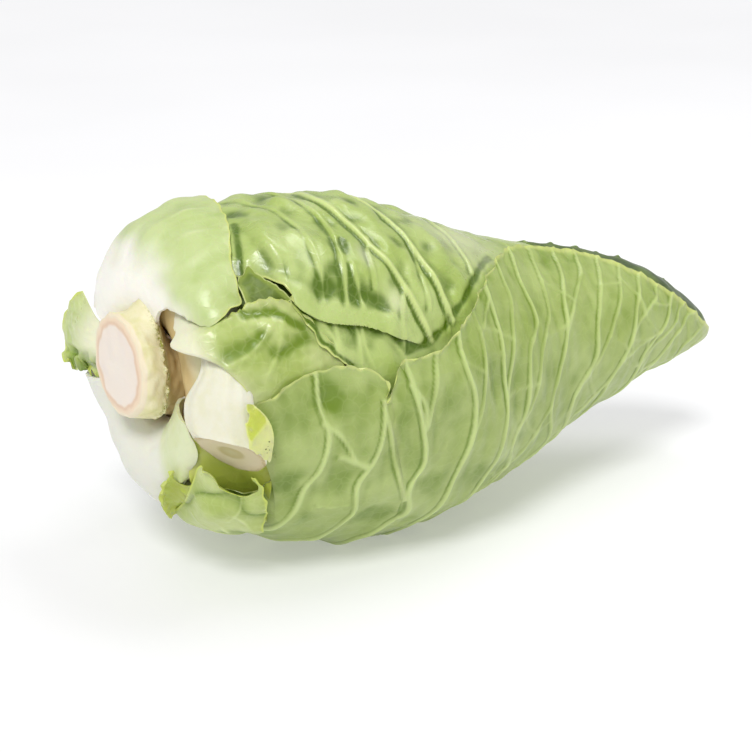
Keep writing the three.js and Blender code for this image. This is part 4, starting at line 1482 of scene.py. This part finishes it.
# %% The stalk
# Station, bearing and lift along the stalk, then half its width and height in mm at even steps.
STALK_LINE = [(32, 32, 0), (33, 19, 2.6), (31, 4, 5.6), (34.6, -16.5, 6.4)]
STALK_HALF_WIDTHS = [6, 9, 11, 11.2, 10.6, 10.4]
STALK_HALF_HEIGHTS = [2.2, 3.6, 5, 5.6, 5.8, 5.6]
STALK_SLANT = 9  # degrees of bearing by which the cut's outer side lies back
STALK_HOLLOW = 2.2  # degrees of bearing by which the cut's middle lies back


def stalk_body():
    """Oval sections along the stalk's line, then rings that shrink into the hollow cut."""
    sides, body, face = 120, 90, 24
    angle = np.linspace(0, 2 * np.pi, sides, endpoint=False)
    share = np.linspace(0, 1, body)
    line = smooth_curve(STALK_LINE, body)
    sizes = smooth_curve(np.stack([np.linspace(0, 1, 6), STALK_HALF_WIDTHS,
                                   STALK_HALF_HEIGHTS], -1), body)[:, 1:]
    sizes *= np.where(share > 0.97, 1 - 0.07 * ((share - 0.97) / 0.03) ** 2, 1)[:, None]
    shrink = np.linspace(0.985, 0.03, face)
    line = np.vstack([line, np.repeat(line[-1:], face, 0)])
    sizes = np.vstack([sizes, sizes[-1] * shrink[:, None]])
    cut = np.append(np.clip((share - 0.7) / 0.3, 0, 1) ** 2, shrink)
    hollow = np.append(np.zeros(body), STALK_HOLLOW * (1 - shrink**2) ** 1.5)
    station = line[:, :1] + sizes[:, :1] * np.cos(angle)
    lift = line[:, 2:] + sizes[:, 1:] * np.sin(angle)
    bearing = line[:, 1:2] + STALK_SLANT * cut[:, None] * np.sin(angle) + hollow[:, None]
    ribs = np.sin(angle * 9 + 1) * 0.16 + np.sin(angle * 14 + 2) * 0.1
    lift = lift + ribs * (np.arange(body + face) < body)[:, None]
    rings = head_point(*np.broadcast_arrays(station, bearing, lift))
    ring = np.append(np.full(body, 1.0), shrink)[:, None] + 0 * angle
    flank = np.append(np.clip((1 - share) / 0.02, 0, 1), np.zeros(face))[:, None] + 0 * angle
    rough = np.append(np.exp(-((1 - share) / 0.03) ** 2), np.exp(-((1 - shrink) / 0.08) ** 2))
    return rings, {"ring": ring, "flank": flank, "rough": 0.6 * rough[:, None] + 0 * angle,
                   "neck": np.zeros_like(ring)}


STALK_FLESH = cut_material(
    "stalk_flesh",
    stops=[(0.0, (190, 182, 136)), (0.3, (186, 174, 124)), (0.46, (210, 199, 160)),
           (0.86, (208, 195, 160)), (1.0, (196, 180, 136))],
    skin=((230, 228, 208), (226, 224, 196)), scuffed=(170, 150, 104),
    neck=(220, 206, 170))
stalk = ring_piece("cut_stalk", *stalk_body(), STALK_FLESH, "white_stalk")
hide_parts("cut_stalk_front")

# %% [markdown]
# ## The inside of the head
#
# Pale leaves lie packed round the core and show through the gaps between the outer ones. Each is
# a cup turned by 137.5 degrees from the last and a little smaller, as leaves grow on a stem.

# %% Inner leaves and the closed bud
INNER_LIFT = -6.8
NEST_STEP = 0.13  # each leaf is smaller than the last by this share of the first
LEAF_TURN, FIRST_TURN = 137.5, 40
CORE_CLEARANCE = 15  # a leaf starts where its scaled skin is this many mm from the axis
INNER_COUNT = 6
INNER_MARGIN = [(30, 88), (70, 112), (150, 118), (225, 110), (262, 96)]  # station, away from rib
ROOT_HALF = 62  # half the root's width in degrees
BUD_SCALE = 0.22
INNER_PALE = leaf_material(
    "inner_leaf", blade=(222, 228, 170), deep=(196, 210, 130),
    light=(230, 234, 190), vein=(238, 238, 212), base=(243, 240, 222),
    edge=(214, 224, 140), gloss=(0.34, 0.5), flesh=0.22)


def inner_relief(turn, seed):
    """Waves, a broad rib and a few laterals."""
    def relief(grid):
        points = grid["points"]
        off = np.abs(grid["bearing"] - turn)
        rib = np.exp(-(off / np.interp(grid["station"], [10, 260], [7, 3])) ** 2)
        side = np.sin(grid["station"] / 3.4 - off / 9 + waves(points, 30, seed))
        side = np.clip(side, 0.55, 1) / 0.45 - 0.55 / 0.45
        soft = 1.1 * rib + 0.7 * waves(points, 22, seed + 1) * (off / 80)
        return soft, 0.35 * side * (1 - rib), {
            "vein": np.clip(0.7 * rib + 0.5 * side, 0, 1), "pale": 1 - smooth_step(
                grid["station"], 15, 110)}
    return relief


root_stations = np.linspace(8, 60, 500)
root_radii = np.interp(root_stations, stations, skin[:, 1])
for number in range(INNER_COUNT):
    scale = 1 - NEST_STEP * number
    turn = FIRST_TURN + LEAF_TURN * number
    root = root_stations[GIRTH * root_radii * scale > CORE_CLEARANCE][0]
    margins = [[(station, turn + side * away, INNER_LIFT)
                for station, away in [(root, ROOT_HALF), *INNER_MARGIN]] for side in (-1, 1)]
    rib_line = [(station, turn, INNER_LIFT) for station in (root, 130, 262)]
    grow_leaf(f"heart_leaf_{number + 1}", [margins[0], rib_line, margins[1]], (1.2, 1.6, 1.2),
              (81, 81), inner_relief(turn, 130 + number), INNER_PALE,
              f"inner_leaf_{number + 1}", scale=scale)


def bud_rings():
    """Rings of the head's own skin, much smaller, with spiral folds."""
    station, turn = np.meshgrid(np.linspace(188, 268, 40), np.arange(0, 360, 5), indexing="ij")
    folds = 0.5 * np.sin(np.radians(3 * turn) + station / 12)
    rings = head_point(station, turn, INNER_LIFT + folds / BUD_SCALE, BUD_SCALE)
    zero = np.zeros_like(station)
    # Painted shade: the troughs of the folds are coloured darker.
    return rings, {"vein": zero, "hollow": np.clip(-folds, 0, 1), "pale": zero + 0.3,
                   "edge": zero}


bud = ring_piece("heart", *bud_rings(), INNER_PALE, "inner_leaf")
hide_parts("heart_bud")
